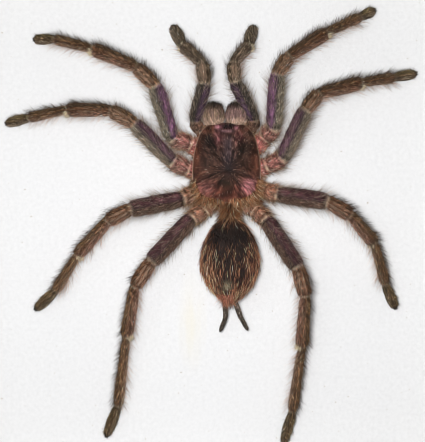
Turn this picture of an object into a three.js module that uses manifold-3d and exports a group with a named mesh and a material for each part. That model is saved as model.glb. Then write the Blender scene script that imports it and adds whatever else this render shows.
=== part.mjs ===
// A spread tarantula in a shallow glazed box frame.
//
// Millimetres, +Z up. The frame stands on its bottom rail and is seen from -Y.
// Everything is laid out flat first, in the mount board's own frame: x to the right, y up the
// board and z off the board towards the glass. The last lines stand the assembly upright, so
// that the origin is under the middle of the bottom rail.

import * as THREE from "three";
import { mergeVertices } from "three/addons/utils/BufferGeometryUtils.js";
import Module from "manifold-3d";

const wasm = await Module();
wasm.setup();

// ---------------------------------------------------------------- driving dimensions

const clearance = 0.3;

// Box frame
const sightWidth = 170;
const sightHeight = 176;
const lipWidth = 5;
const lipThickness = 4;
const wallThickness = 7;
const frontDepth = 30;
const backDepth = -10;
const edgeEase = 1;
const mitreSetback = 0.2;

// What the frame holds
const glassThickness = 2;
const mountBoardThickness = 3;
const backBoardThickness = 3;

// Glazing points, two to a side, driven into the rails behind the back board
const pointWidth = 10;
const pointLength = 9;
const pointThickness = 0.8;
const pointBite = 3;
const pointSpread = 55;

// Sawtooth hanger on the back board
const hangerLength = 44;
const hangerHeight = 8;
const hangerThickness = 1;
const hangerLift = 1.4;
const hangerFoot = 8;
const hangerRamp = 2;
const hangerPlaceY = 76;
const toothCount = 9;
const toothDepth = 1.5;
const nailSpacing = 36;
const nailShankRadius = 0.6;
const nailHeadRadius = 1.8;
const nailHeadHeight = 0.8;
const nailHoleRadius = 0.95;
const nailSides = 12;
const nailTipLength = 1;
const nailDriveShare = 0.8;

// Cephalothorax: a low domed carapace over a narrower underside, as levels from the board up.
// A level that faces the board carries faces of -1, and one that faces the glass +1. The front
// taper is the share of its width that the outline loses between its middle and its front.
const carapaceCentre = [4.8, 19.5];
const carapaceHalfWidth = 11.6;
const carapaceHalfLength = 13.5;
const carapaceSquareness = 3.6;
const carapaceFrontTaper = 0.22;
const carapaceSides = 24;
const carapaceApexHeight = 13.6;
const carapaceLevels = [
  { height: 1.5, scale: 0.5, faces: -1 },
  { height: 2.6, scale: 0.66, faces: -1 },
  { height: 7.4, scale: 0.72, faces: -1 },
  { height: 8.3, scale: 0.95, faces: -1 },
  { height: 9.1, scale: 1, faces: 1 },
  { height: 10.8, scale: 0.93, faces: 1 },
  { height: 12.4, scale: 0.74, faces: 1 },
  { height: 13.3, scale: 0.46, faces: 1 },
];

// Abdomen: an egg on a thin waist, laid along y
const abdomenX = 5.8;
const abdomenHeight = 8;
const abdomenHalfHeight = 7.6;
const abdomenHalfWidth = 9.7;
const abdomenFrontY = 1.2;
const abdomenWidestY = -13.5;
const abdomenRearY = -27.4;
const waistFrontY = 7.5;
const waistRadius = 1.5;
const abdomenSides = 18;
const abdomenSteps = 9;

// Chelicerae and fangs
const cheliceraX = { left: 0.3, right: 8.1 };
const cheliceraY = 35.3;
const cheliceraHeight = 8;
const cheliceraHalfSizes = [3.7, 4.1, 4.1];
const cheliceraSides = 14;
const cheliceraRings = 10;
const fangJoints = [
  [39.2, 5.6],
  [38.6, 3.4],
  [36.6, 2.1],
  [33.4, 1.2],
];
const fangRadii = [1.1, 0.85, 0.5];

// Spinnerets
const spinneretJoints = {
  left: [[4.1, -25.5, 7], [4.5, -32.5, 5], [2.5, -37.5, 3.5]],
  right: [[7, -25.5, 7], [9.5, -32.5, 5], [12, -37, 3.5]],
};
const spinneretRadii = [0.85, 0.7];

// Limbs: the plan of each limb's joints on the board, from the body to the tip. A limb's
// articles lie between its joints, and all limbs of a kind rise and fall by the same heights.
const limbSides = 8;
const legRadii = [2.6, 2.6, 2.65, 2.5, 2.2, 1.65, 1.5];
const legHeights = [5.6, 6.8, 8.5, 13, 12, 7, 3.4, 2];
const legPlans = {
  leg_1_left: [
    [-3, 23], [-7.5, 26], [-13.5, 27.5], [-19, 45],
    [-25.5, 51.5], [-40.5, 58], [-53.5, 61.5], [-60.5, 61.5],
  ],
  leg_1_right: [
    [13.5, 23.5], [17.5, 28], [20.5, 31], [21.5, 49],
    [25.5, 55], [38.5, 63.5], [50, 69], [55, 71.5],
  ],
  leg_2_left: [
    [-3, 16.5], [-8.5, 17.5], [-13.5, 20], [-26, 32.5],
    [-34, 37], [-49, 37.5], [-62, 35], [-70, 33],
  ],
  leg_2_right: [
    [13.5, 17], [18.5, 18.5], [23.5, 21], [31, 37],
    [35.5, 42.5], [50, 46.5], [61.5, 48.5], [69, 50],
  ],
  leg_3_left: [
    [-3, 11.5], [-6.5, 9], [-10, 7.5], [-27.5, 4],
    [-35, 0], [-45.5, -11.5], [-53, -23.5], [-60, -30],
  ],
  leg_3_right: [
    [13.5, 11.5], [17.5, 10], [22, 9], [38.5, 6.5],
    [46, 2], [54.5, -7.5], [58.5, -21.5], [62, -29.5],
  ],
  leg_4_left: [
    [0.5, 7], [-3, 3.5], [-7, 1], [-20.5, -13.5],
    [-26, -22], [-29, -39], [-32, -62.5], [-36, -73],
  ],
  leg_4_right: [
    [10, 7.5], [14.5, 3.5], [18, 0.5], [28.5, -15.5],
    [31, -25], [30, -42.5], [27, -64.5], [24, -75.5],
  ],
};
const palpRadii = [1.9, 2, 2.25, 2.1, 1.9, 1.8];
const palpHeights = [6.3, 7.2, 8.2, 11, 10, 5.5, 2.4];
const palpPlans = {
  pedipalp_left: [
    [-2, 29.5], [-4.5, 30.5], [-6, 33.5], [-2.5, 46],
    [-3.5, 53], [-10, 59], [-13.5, 66],
  ],
  pedipalp_right: [
    [11.5, 29.5], [13.5, 31.5], [14, 34], [7.5, 46.5],
    [7, 53], [12, 59], [14, 66],
  ],
};

// How an article swells between two joints: place along the article, share of its radius
const longArticleLength = 7;
const longArticleSwell = [[0.16, 0.94], [0.5, 1], [0.86, 0.95]];
const shortArticleSwell = [[0.5, 1]];
const jointPinch = 0.84;
const limbEndShare = 0.6;

// Where the assembly stands once it is upright
const standForward = 10;

// ---------------------------------------------------------------- worked out from them

const rebateWidth = sightWidth + 2 * lipWidth;
const rebateHeight = sightHeight + 2 * lipWidth;
const outerHeight = rebateHeight + 2 * wallThickness;
const panelWidth = rebateWidth - 2 * clearance;
const panelHeight = rebateHeight - 2 * clearance;
const glassFront = frontDepth - lipThickness - clearance;
const glassBack = glassFront - glassThickness;
const backBoardFront = -mountBoardThickness - clearance;
const backBoardBack = backBoardFront - backBoardThickness;
const pointFront = backBoardBack - clearance;

// ---------------------------------------------------------------- materials

const glassOpacity = 0.15;

function material(color, roughness, metalness = 0) {
  return new THREE.MeshStandardMaterial({ color, roughness, metalness });
}

function clearMaterial(color, roughness, opacity) {
  return new THREE.MeshStandardMaterial({ color, roughness, opacity, transparent: true });
}

const makeMaterial = {
  stainedWood: () => material(0x1d1a18, 0.45),
  glass: () => clearMaterial(0xdfe8e6, 0.05, glassOpacity),
  whiteCard: () => material(0xf1f0ec, 0.85),
  mountBoard: () => material(0xf0efec, 0.9),
  backBoard: () => material(0x8a6a48, 0.85),
  steel: () => material(0xb4b6b8, 0.35, 1),
  brass: () => material(0xb89a55, 0.35, 1),
  carapace: () => material(0x4f2a2c, 0.55),
  chelicera: () => material(0x6d5f58, 0.7),
  fang: () => material(0x140d0c, 0.2),
  leg: () => material(0x5a4238, 0.8),
  abdomen: () => material(0x5b3a22, 0.9),
  spinneret: () => material(0x3a3431, 0.85),
};

// ---------------------------------------------------------------- solids

function toSolid(geometry) {
  const bare = geometry.clone();
  bare.deleteAttribute("normal");
  bare.deleteAttribute("uv");
  const welded = mergeVertices(bare);
  return new wasm.Manifold(new wasm.Mesh({
    numProp: 3,
    vertProperties: new Float32Array(welded.getAttribute("position").array),
    triVerts: new Uint32Array(welded.getIndex().array),
  }));
}

function toGeometry(solid) {
  const mesh = solid.getMesh();
  const geometry = new THREE.BufferGeometry();
  geometry.setAttribute("position", new THREE.BufferAttribute(mesh.vertProperties, 3));
  geometry.setIndex(new THREE.BufferAttribute(mesh.triVerts, 1));
  geometry.computeVertexNormals();
  return geometry;
}

function cut(geometry, ...cutters) {
  const body = cutters.reduce((solid, cutter) => solid.subtract(toSolid(cutter)), toSolid(geometry));
  return toGeometry(body);
}

function box(sizeX, sizeY, sizeZ, x, y, z) {
  return new THREE.BoxGeometry(sizeX, sizeY, sizeZ).translate(x, y, z);
}

// Skins a row of rings that all have the same number of points, counter-clockwise when seen
// from the far end, and closes both ends with a fan about the ring's middle.
function skinRings(rings) {
  const sides = rings[0].length;
  const points = rings.flat();
  const faces = [];
  for (let ring = 0; ring + 1 < rings.length; ring += 1) {
    for (let side = 0; side < sides; side += 1) {
      const a = ring * sides + side;
      const b = ring * sides + (side + 1) % sides;
      faces.push(a, b, b + sides, a, b + sides, a + sides);
    }
  }
  const middle = (ring) => ring.reduce((sum, p) => sum.add(p), new THREE.Vector3()).divideScalar(sides);
  const lastStart = (rings.length - 1) * sides;
  const nearCentre = points.push(middle(rings[0])) - 1;
  const farCentre = points.push(middle(rings[rings.length - 1])) - 1;
  for (let side = 0; side < sides; side += 1) {
    const next = (side + 1) % sides;
    faces.push(nearCentre, next, side, farCentre, lastStart + side, lastStart + next);
  }
  const geometry = new THREE.BufferGeometry().setFromPoints(points);
  geometry.setIndex(faces);
  geometry.computeVertexNormals();
  return geometry;
}

// ---------------------------------------------------------------- frame

// x runs outwards from the sight edge and y runs off the board
function railProfile() {
  const outer = lipWidth + wallThickness;
  const outline = new THREE.Shape();
  outline.moveTo(0, frontDepth - lipThickness);
  outline.lineTo(lipWidth, frontDepth - lipThickness);
  outline.lineTo(lipWidth, backDepth);
  outline.lineTo(outer, backDepth);
  outline.lineTo(outer, frontDepth - edgeEase);
  outline.lineTo(outer - edgeEase, frontDepth);
  outline.lineTo(edgeEase, frontDepth);
  outline.lineTo(0, frontDepth - edgeEase);
  outline.closePath();
  return outline;
}

function mitredBar(sightLength) {
  const bar = new THREE.ExtrudeGeometry(railProfile(), { depth: 2, bevelEnabled: false });
  bar.translate(0, 0, -1);
  const corners = bar.getAttribute("position");
  for (let i = 0; i < corners.count; i += 1) {
    const halfLength = sightLength / 2 + corners.getX(i) - mitreSetback;
    corners.setZ(i, corners.getZ(i) * halfLength);
  }
  return bar.rotateX(Math.PI / 2);
}

function pointSlot(along) {
  const reach = pointBite + clearance;
  const height = pointThickness + 2 * clearance;
  return box(2 * reach, pointWidth + 2 * clearance, height, lipWidth, along, pointFront - pointThickness / 2);
}

function railGeometry(sightLength) {
  return cut(mitredBar(sightLength), pointSlot(-pointSpread), pointSlot(pointSpread));
}

function pointGeometry(along) {
  const outerEnd = lipWidth + pointBite;
  const middleX = outerEnd - pointLength / 2;
  return box(pointLength, pointWidth, pointThickness, middleX, along, pointFront - pointThickness / 2);
}

const spacerThickness = lipWidth - 2 * clearance;

function spacerGeometry(length) {
  const height = glassBack - 2 * clearance;
  const middleX = lipWidth - clearance - spacerThickness / 2;
  return box(spacerThickness, length, height, middleX, 0, clearance + height / 2);
}

function panelGeometry(front, thickness) {
  return box(panelWidth, panelHeight, thickness, 0, 0, front - thickness / 2);
}

const nailPlaces = [-nailSpacing / 2, nailSpacing / 2];

function nailHole(x) {
  const length = 2 * (hangerThickness + backBoardThickness + clearance);
  const hole = new THREE.CylinderGeometry(nailHoleRadius, nailHoleRadius, length, nailSides);
  return hole.rotateX(Math.PI / 2).translate(x, hangerPlaceY, pointFront);
}

function backBoardGeometry() {
  return cut(panelGeometry(backBoardFront, backBoardThickness), ...nailPlaces.map(nailHole));
}

// The strip's side view, with its two feet on the board and its middle lifted off it
function hangerProfile() {
  const end = hangerLength / 2;
  const footEnd = end - hangerFoot;
  const liftStart = footEnd - hangerRamp;
  const outline = new THREE.Shape();
  outline.moveTo(-end, 0);
  outline.lineTo(-end, -hangerThickness);
  outline.lineTo(-footEnd, -hangerThickness);
  outline.lineTo(-liftStart, -hangerThickness - hangerLift);
  outline.lineTo(liftStart, -hangerThickness - hangerLift);
  outline.lineTo(footEnd, -hangerThickness);
  outline.lineTo(end, -hangerThickness);
  outline.lineTo(end, 0);
  outline.lineTo(footEnd, 0);
  outline.lineTo(liftStart, -hangerLift);
  outline.lineTo(-liftStart, -hangerLift);
  outline.lineTo(-footEnd, 0);
  outline.closePath();
  return outline;
}

function hangerTeeth() {
  const span = hangerLength - 2 * (hangerFoot + hangerRamp) - 2 * clearance;
  const pitch = span / toothCount;
  const bottom = hangerPlaceY - hangerHeight / 2;
  const below = bottom - toothDepth;
  const outline = new THREE.Shape();
  outline.moveTo(-span / 2, below);
  for (let tooth = 0; tooth < toothCount; tooth += 1) {
    const start = -span / 2 + tooth * pitch;
    outline.lineTo(start, bottom - clearance);
    outline.lineTo(start + pitch / 2, bottom + toothDepth);
  }
  outline.lineTo(span / 2, bottom - clearance);
  outline.lineTo(span / 2, below);
  outline.closePath();
  const depth = 2 * (hangerLift + hangerThickness);
  const teeth = new THREE.ExtrudeGeometry(outline, { depth, bevelEnabled: false });
  return teeth.translate(0, 0, pointFront - depth);
}

function hangerGeometry() {
  const strip = new THREE.ExtrudeGeometry(hangerProfile(), { depth: hangerHeight, bevelEnabled: false });
  strip.rotateX(Math.PI / 2).translate(0, hangerPlaceY + hangerHeight / 2, pointFront);
  return cut(strip, hangerTeeth(), ...nailPlaces.map(nailHole));
}

function nailGeometry() {
  const length = hangerThickness + 2 * clearance + backBoardThickness * nailDriveShare;
  const profile = [
    new THREE.Vector2(0, -length),
    new THREE.Vector2(nailShankRadius, nailTipLength - length),
    new THREE.Vector2(nailShankRadius, 0),
    new THREE.Vector2(nailHeadRadius, 0),
    new THREE.Vector2(nailHeadRadius, nailHeadHeight / 2),
    new THREE.Vector2(nailHeadRadius / 2, nailHeadHeight),
    new THREE.Vector2(0, nailHeadHeight),
  ];
  const headSeat = pointFront - hangerThickness - clearance;
  const nail = new THREE.LatheGeometry(profile, nailSides).rotateX(-Math.PI / 2);
  return nail.translate(0, hangerPlaceY, headSeat);
}

// ---------------------------------------------------------------- tarantula

// Carapace outline: a rounded rectangle by the superellipse rule, narrowed towards the front
function carapaceRing(scale, height, grow) {
  const power = 2 / carapaceSquareness;
  const halfWidth = carapaceHalfWidth * scale + grow;
  const halfLength = carapaceHalfLength * scale + grow;
  const ring = [];
  for (let i = 0; i < carapaceSides; i += 1) {
    const angle = (2 * Math.PI * (i + 0.5)) / carapaceSides;
    const across = Math.sign(Math.cos(angle)) * Math.abs(Math.cos(angle)) ** power;
    const along = Math.sign(Math.sin(angle)) * Math.abs(Math.sin(angle)) ** power;
    const narrowing = 1 - carapaceFrontTaper * scale * Math.max(along, 0);
    const x = carapaceCentre[0] + halfWidth * narrowing * across;
    const y = carapaceCentre[1] + halfLength * along;
    ring.push(new THREE.Vector3(x, y, height));
  }
  return ring;
}

function cephalothoraxGeometry(grow = 0) {
  const rings = carapaceLevels.map(({ height, scale, faces }) => (
    carapaceRing(scale, height + faces * grow, grow)
  ));
  const skin = skinRings(rings);
  const place = skin.getAttribute("position");
  place.setZ(place.count - 1, carapaceApexHeight + grow);
  return skin;
}

function abdomenGeometry(grow = 0) {
  const profile = [new THREE.Vector2(0, -waistFrontY), new THREE.Vector2(waistRadius, -waistFrontY)];
  profile.push(new THREE.Vector2(waistRadius, -abdomenFrontY));
  for (let step = 1; step <= abdomenSteps; step += 1) {
    const angle = (Math.PI * step) / (abdomenSteps + 1);
    const reach = angle < Math.PI / 2 ? abdomenWidestY - abdomenFrontY : abdomenRearY - abdomenWidestY;
    const along = -abdomenWidestY + Math.cos(angle) * (reach - grow);
    profile.push(new THREE.Vector2((abdomenHalfWidth + grow) * Math.sin(angle), along));
  }
  profile.push(new THREE.Vector2(0, grow - abdomenRearY));
  const egg = new THREE.LatheGeometry(profile, abdomenSides).rotateX(Math.PI).rotateY(Math.PI / abdomenSides);
  egg.scale(1, 1, abdomenHalfHeight / abdomenHalfWidth);
  return egg.translate(abdomenX, 0, abdomenHeight);
}

function cheliceraGeometry(side, grow = 0) {
  const sizes = cheliceraHalfSizes.map((size) => size + grow);
  const body = new THREE.SphereGeometry(1, cheliceraSides, cheliceraRings);
  return body.scale(...sizes).translate(cheliceraX[side], cheliceraY, cheliceraHeight);
}

function ringAround(centre, direction, radius) {
  const across = new THREE.Vector3(0, 0, 1).cross(direction).normalize();
  const upwards = direction.clone().cross(across);
  const ring = [];
  for (let i = 0; i < limbSides; i += 1) {
    const angle = (2 * Math.PI * (i + 0.5)) / limbSides;
    const point = centre.clone().addScaledVector(across, radius * Math.cos(angle));
    ring.push(point.addScaledVector(upwards, radius * Math.sin(angle)));
  }
  return ring;
}

// A row of swollen articles with a narrower ring at each joint, tilted halfway round the bend
function limbGeometry(joints, radii) {
  const directions = radii.map((_, i) => joints[i + 1].clone().sub(joints[i]).normalize());
  const rings = [ringAround(joints[0], directions[0], radii[0] * jointPinch)];
  radii.forEach((radius, i) => {
    const length = joints[i].distanceTo(joints[i + 1]);
    const swell = length > longArticleLength ? longArticleSwell : shortArticleSwell;
    for (const [place, share] of swell) {
      rings.push(ringAround(joints[i].clone().lerp(joints[i + 1], place), directions[i], radius * share));
    }
    if (i + 1 < radii.length) {
      const bend = directions[i].clone().add(directions[i + 1]).normalize();
      const narrow = Math.min(radius, radii[i + 1]) * jointPinch;
      rings.push(ringAround(joints[i + 1], bend, narrow));
    }
  });
  const last = radii.length - 1;
  rings.push(ringAround(joints[last + 1], directions[last], radii[last] * limbEndShare));
  return skinRings(rings);
}

function jointsFromPlan(plan, heights) {
  return plan.map(([x, y], i) => new THREE.Vector3(x, y, heights[i]));
}

function fangGeometry(side) {
  const joints = fangJoints.map(([y, height]) => new THREE.Vector3(cheliceraX[side], y, height));
  return cut(limbGeometry(joints, fangRadii), cheliceraGeometry(side, clearance));
}

function spinneretGeometry(side) {
  const joints = spinneretJoints[side].map((point) => new THREE.Vector3(...point));
  return cut(limbGeometry(joints, spinneretRadii), abdomenGeometry(clearance));
}

// ---------------------------------------------------------------- assembly

const assembly = new THREE.Group();

function add(name, geometry, surface) {
  const mesh = new THREE.Mesh(geometry, surface);
  mesh.name = name;
  assembly.add(mesh);
  return mesh;
}

const frameSides = [
  { name: "right", turn: 0, reach: sightWidth / 2, sightLength: sightHeight, spacerLength: panelHeight },
  { name: "top", turn: 1, reach: sightHeight / 2, sightLength: sightWidth, spacerLength: sightWidth },
  { name: "left", turn: 2, reach: sightWidth / 2, sightLength: sightHeight, spacerLength: panelHeight },
  { name: "bottom", turn: 3, reach: sightHeight / 2, sightLength: sightWidth, spacerLength: sightWidth },
];

for (const side of frameSides) {
  const angle = (side.turn * Math.PI) / 2;
  const place = (mesh) => {
    mesh.rotation.z = angle;
    mesh.position.set(side.reach * Math.cos(angle), side.reach * Math.sin(angle), 0);
  };
  place(add(`rail_${side.name}`, railGeometry(side.sightLength), makeMaterial.stainedWood()));
  place(add(`spacer_${side.name}`, spacerGeometry(side.spacerLength), makeMaterial.whiteCard()));
  place(add(`glazing_point_${side.name}_1`, pointGeometry(-pointSpread), makeMaterial.steel()));
  place(add(`glazing_point_${side.name}_2`, pointGeometry(pointSpread), makeMaterial.steel()));
}

add("glass_pane", panelGeometry(glassFront, glassThickness), makeMaterial.glass());
add("mount_board", panelGeometry(0, mountBoardThickness), makeMaterial.mountBoard());
add("back_board", backBoardGeometry(), makeMaterial.backBoard());
add("sawtooth_hanger", hangerGeometry(), makeMaterial.brass());
add("hanger_nail_left", nailGeometry(), makeMaterial.brass()).position.x = nailPlaces[0];
add("hanger_nail_right", nailGeometry(), makeMaterial.brass()).position.x = nailPlaces[1];

const grownBody = cephalothoraxGeometry(clearance);
add("cephalothorax", cephalothoraxGeometry(), makeMaterial.carapace());
add("abdomen", cut(abdomenGeometry(), grownBody), makeMaterial.abdomen());

for (const side of ["left", "right"]) {
  const grownChelicera = cheliceraGeometry(side, clearance);
  add(`chelicera_${side}`, cut(cheliceraGeometry(side), grownBody), makeMaterial.chelicera());
  add(`fang_${side}`, fangGeometry(side), makeMaterial.fang());
  add(`spinneret_${side}`, spinneretGeometry(side), makeMaterial.spinneret());
  const name = `pedipalp_${side}`;
  const palp = limbGeometry(jointsFromPlan(palpPlans[name], palpHeights), palpRadii);
  add(name, cut(palp, grownBody, grownChelicera), makeMaterial.leg());
}

for (const [name, plan] of Object.entries(legPlans)) {
  add(name, cut(limbGeometry(jointsFromPlan(plan, legHeights), legRadii), grownBody), makeMaterial.leg());
}

assembly.rotation.x = Math.PI / 2;
assembly.position.set(0, standForward, outerHeight / 2);

const specimen = new THREE.Group();
specimen.add(assembly);

export default specimen;
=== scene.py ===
"""Looks of the framed tarantula specimen.

The box frame keeps its CAD meshes and gets materials. The spider's CAD solids are replaced by
fine skins, and by joined mesh hairs that grow on them.

Places are worked out in the mount board's own frame, in millimetres: x to the right, y up the
board and z off it towards the glass. to_row() turns them into the row frame, in metres."""

import math
from collections import namedtuple

import bpy
import numpy as np
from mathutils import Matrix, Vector


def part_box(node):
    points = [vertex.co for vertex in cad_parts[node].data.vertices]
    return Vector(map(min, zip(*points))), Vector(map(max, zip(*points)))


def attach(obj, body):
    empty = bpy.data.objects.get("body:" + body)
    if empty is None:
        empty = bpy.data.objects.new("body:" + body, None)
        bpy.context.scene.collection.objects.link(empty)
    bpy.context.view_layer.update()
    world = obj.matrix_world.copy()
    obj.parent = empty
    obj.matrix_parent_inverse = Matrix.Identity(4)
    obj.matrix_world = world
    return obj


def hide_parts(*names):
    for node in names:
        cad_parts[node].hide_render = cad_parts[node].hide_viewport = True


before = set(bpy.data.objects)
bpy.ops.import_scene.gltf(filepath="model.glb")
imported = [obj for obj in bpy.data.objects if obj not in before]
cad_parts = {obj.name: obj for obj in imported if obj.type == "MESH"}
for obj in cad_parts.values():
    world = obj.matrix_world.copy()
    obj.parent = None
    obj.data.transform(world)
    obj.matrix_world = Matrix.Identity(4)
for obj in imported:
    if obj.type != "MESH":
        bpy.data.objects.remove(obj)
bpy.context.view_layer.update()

# ------------------------------ driving dimensions, mm

MM = 0.001
BOARD_LOW, BOARD_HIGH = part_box("mount_board")
BOARD_FRONT_Y = BOARD_LOW.y / MM
BOARD_CENTRE_Z = (BOARD_LOW.z + BOARD_HIGH.z) / 2 / MM

# Limb joints on the board, from the body to the tip; each kind of limb rises and falls alike
LEG_RADII = (2.7, 2.6, 2.6, 2.2, 2.1, 1.5, 1.45)
REAR_LEG_RADII = (2.7, 2.6, 2.8, 2.25, 1.95, 1.45, 1.45)
LEG_HEIGHTS = (5.6, 6.8, 8.5, 13, 12, 7, 3.4, 2)
LEG_PLANS = {
    "leg_1_left": ((-3, 23), (-7.5, 26), (-13.5, 27.5), (-19, 45),
                   (-25.5, 51.5), (-40.5, 58), (-53.5, 61.5), (-60.5, 61.5)),
    "leg_1_right": ((13.5, 23.5), (17.5, 28), (20.5, 31), (21.5, 49),
                    (25.5, 55), (38.5, 63.5), (50, 69), (55, 71.5)),
    "leg_2_left": ((-3, 16.5), (-8.5, 17.5), (-13.5, 20), (-26, 32.5),
                   (-34, 37), (-49, 37.5), (-62, 35), (-70, 33)),
    "leg_2_right": ((13.5, 17), (18.5, 18.5), (23.5, 21), (31, 37),
                    (35.5, 42.5), (50, 46.5), (61.5, 48.5), (69, 50)),
    "leg_3_left": ((-3, 11.5), (-6.5, 9), (-10, 7.5), (-27.5, 4),
                   (-35, 0), (-45.5, -11.5), (-53, -23.5), (-60, -30)),
    "leg_3_right": ((13.5, 11.5), (17.5, 10), (22, 9), (38.5, 6.5),
                    (46, 2), (54.5, -7.5), (58.5, -21.5), (62, -29.5)),
    "leg_4_left": ((0.5, 7), (-3, 3.5), (-7, 1), (-20.5, -13.5),
                   (-26, -22), (-29, -39), (-32, -62.5), (-36, -73)),
    "leg_4_right": ((10, 7.5), (14.5, 3.5), (18, 0.5), (28.5, -15.5),
                    (31, -25), (30, -42.5), (27, -64.5), (24, -75.5)),
}
PALP_RADII = (1.9, 2, 2.2, 2.1, 1.9, 1.75)
PALP_HEIGHTS = (6.3, 7.2, 8.2, 11, 10, 5.5, 2.4)
PALP_PLANS = {
    "pedipalp_left": ((-2, 29.5), (-4.5, 30.5), (-6, 33.5), (-2.5, 46), (-3.5, 53), (-10, 59), (-13.5, 66)),
    "pedipalp_right": ((11.5, 29.5), (13.5, 31.5), (14, 34), (7.5, 46.5), (7, 53), (12, 59), (14, 66)),
}
SPINNERET_RADII = (0.75, 0.65)
SPINNERET_HEIGHTS = (7, 5, 3.5)
SPINNERET_PLANS = {
    "spinneret_left": ((4.1, -25.5), (4.5, -32.5), (2.5, -37.5)),
    "spinneret_right": ((7, -25.5), (9.5, -32.5), (12, -37)),
}
COXA, TROCHANTER, FEMUR, PATELLA, TIBIA, METATARSUS, TARSUS, SPINNERET_BASE, SPINNERET_TIP = range(9)
LEG_ARTICLES = (COXA, TROCHANTER, FEMUR, PATELLA, TIBIA, METATARSUS, TARSUS)
PALP_ARTICLES = (COXA, TROCHANTER, FEMUR, PATELLA, TIBIA, TARSUS)
SPINNERET_ARTICLES = (SPINNERET_BASE, SPINNERET_TIP)

# How an article swells from its base to its end, as shares of its radius
SWELL_PLACES = (0, 0.12, 0.5, 0.85, 1)
SWELLS = {
    COXA: (0.88, 1, 1.05, 1, 0.84),
    TROCHANTER: (0.82, 1, 1.06, 1, 0.8),
    FEMUR: (0.78, 0.97, 1, 1, 0.8),
    PATELLA: (0.78, 0.97, 1.05, 1, 0.76),
    TIBIA: (0.72, 0.9, 0.98, 1.08, 0.74),
    METATARSUS: (0.7, 0.88, 0.97, 1.12, 0.72),
    TARSUS: (0.66, 0.96, 1.14, 0.86, 0.25),
    SPINNERET_BASE: (1, 1, 1.05, 1, 0.85),
    SPINNERET_TIP: (0.85, 1, 1, 0.7, 0.3),
}

CARAPACE_CENTRE = np.array([4.7, 19.5])
CARAPACE_HALF_WIDTH = 11.6
CARAPACE_HALF_LENGTH = 13.5
CARAPACE_SQUARENESS = 4
CARAPACE_FRONT_TAPER = 0.22
CARAPACE_RIM_HEIGHT = 9.1
CARAPACE_RISE = 4.5
HEAD_RISE = 0.45

# The underside's rings: share of the carapace's reach, and height
UNDERSIDE = ((0.95, 8.3), (0.72, 7.4), (0.66, 2.6), (0.5, 1.5))

# The pit in the thorax and the grooves that run out from it, at angles off the forward line
FOVEA = np.array([5.3, 16.9])
FOVEA_HALF_SIZES = (1.3, 0.5)
FOVEA_DEPTH = 0.8
HEAD_ANGLE = math.radians(34)
THORAX_GROOVES = np.radians([74, 106, 146])
GROOVE_WIDTH = 0.12
GROOVE_DEPTH = 0.28
RIPPLE_DEPTH = 0.16
STREAK_RELIEF = 0.05

# The mound that carries the eyes, and each eye's place on it and radius
EYE_MOUND = np.array([5.2, 31.6])
EYE_MOUND_WIDTH = 1.7
EYE_MOUND_RISE = 1.0
EYES = ((-0.75, 0.25, 0.42), (0.75, 0.25, 0.42), (-1.15, -0.45, 0.3), (1.15, -0.45, 0.3),
        (-0.85, 1.0, 0.28), (0.85, 1.0, 0.28), (-0.55, -0.6, 0.22), (0.55, -0.6, 0.22))

CHELICERA_X = {"left": 0.3, "right": 8.1}
CHELICERA_Y = 35.3
CHELICERA_HEIGHT = 8
CHELICERA_HALF_SIZES = np.array([3.7, 4.0, 4.1])

# A fang's centre line, from the base to the tip: place up the board and height
FANG_LINE = ((39.2, 5.6), (38.6, 3.4), (36.6, 2.1), (33.4, 1.2))
FANG_RADII = (1.0, 0.85, 0.5, 0.12)

ABDOMEN_X = 5.8
ABDOMEN_HEIGHT = 8
ABDOMEN_HALF_WIDTH = 9.7
ABDOMEN_HALF_HEIGHT = 7.6
ABDOMEN_FRONT_Y = 1.6
ABDOMEN_WIDEST_Y = -13.5
ABDOMEN_REAR_Y = -27
ABDOMEN_ROUNDNESS = 1.75
ABDOMEN_UNEVENNESS = 0.25

# The waist's rings: place up the board and radius
WAIST_RINGS = ((6.0, 1.2), (3.0, 1.4), (1.4, 1.5))

# The bare patch near the abdomen's rear, with a thinly haired lane ahead of it
BARE_PATCH = np.array([5.0, -21.8])
BARE_PATCH_SIZE = 1.7
BARE_LANE_LENGTH = 2.5

# How finely the skins are divided
LIMB_STEP = 0.5
LIMB_SIDES = 20
SPINNERET_SIDES = 14
CARAPACE_RINGS, CARAPACE_SIDES = 52, 120
EYE_RINGS, EYE_SIDES = 8, 12
CHELICERA_RINGS, CHELICERA_SIDES = 56, 64
FANG_RINGS, FANG_SIDES = 28, 16
ABDOMEN_RINGS, ABDOMEN_SIDES = 60, 64

# How far along a limb the bends at its joints are rounded off
LIMB_SMOOTHING = 3.2

# Kinds of hair: how many, lift off the skin in degrees, stray from the comb's direction, and
# length and width. A pair holds the least and the greatest value.
HairKind = namedtuple("HairKind", "count lift stray length width")
PELT = HairKind(7600, (6, 26), 0.14, (0.7, 1.5), (0.14, 0.26))
BRISTLES = HairKind(1700, (30, 60), 0.1, (0.8, 2.0), (0.1, 0.16))
HALO = HairKind(2400, (37, 73), 0.08, (2.0, 4.8), (0.075, 0.115))
JOINT_TUFT = HairKind(120, (30, 80), 0.2, (0.5, 1.8), 0.26)
COXA_WOOL = HairKind(420, (5, 75), 0.35, (1.0, 2.6), (0.09, 0.15))
CLAW_TUFT = HairKind(170, (-4, 16), 0.12, (0.4, 0.9), 0.16)
SPINNERET_DOWN = HairKind(900, (5, 24), 0.15, (0.5, 1.0), (0.12, 0.22))
CARAPACE_DOWN = HairKind(4200, (4, 14), 0.15, (0.5, 1.1), 0.1)
CARAPACE_FRINGE = HairKind(3000, (-20, 24), 0.25, (0.8, 1.8), (0.09, 0.16))
REAR_BRUSH = HairKind(3600, (4, 38), 0.3, (1.2, 2.4), (0.11, 0.22))
CHELICERA_DOWN = HairKind(2900, (5, 22), 0.12, (0.7, 1.5), (0.1, 0.17))
CHELICERA_BRUSH = CHELICERA_DOWN._replace(lift=(10, 55), stray=0.18, length=(0.8, 1.7), width=0.11)
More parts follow.
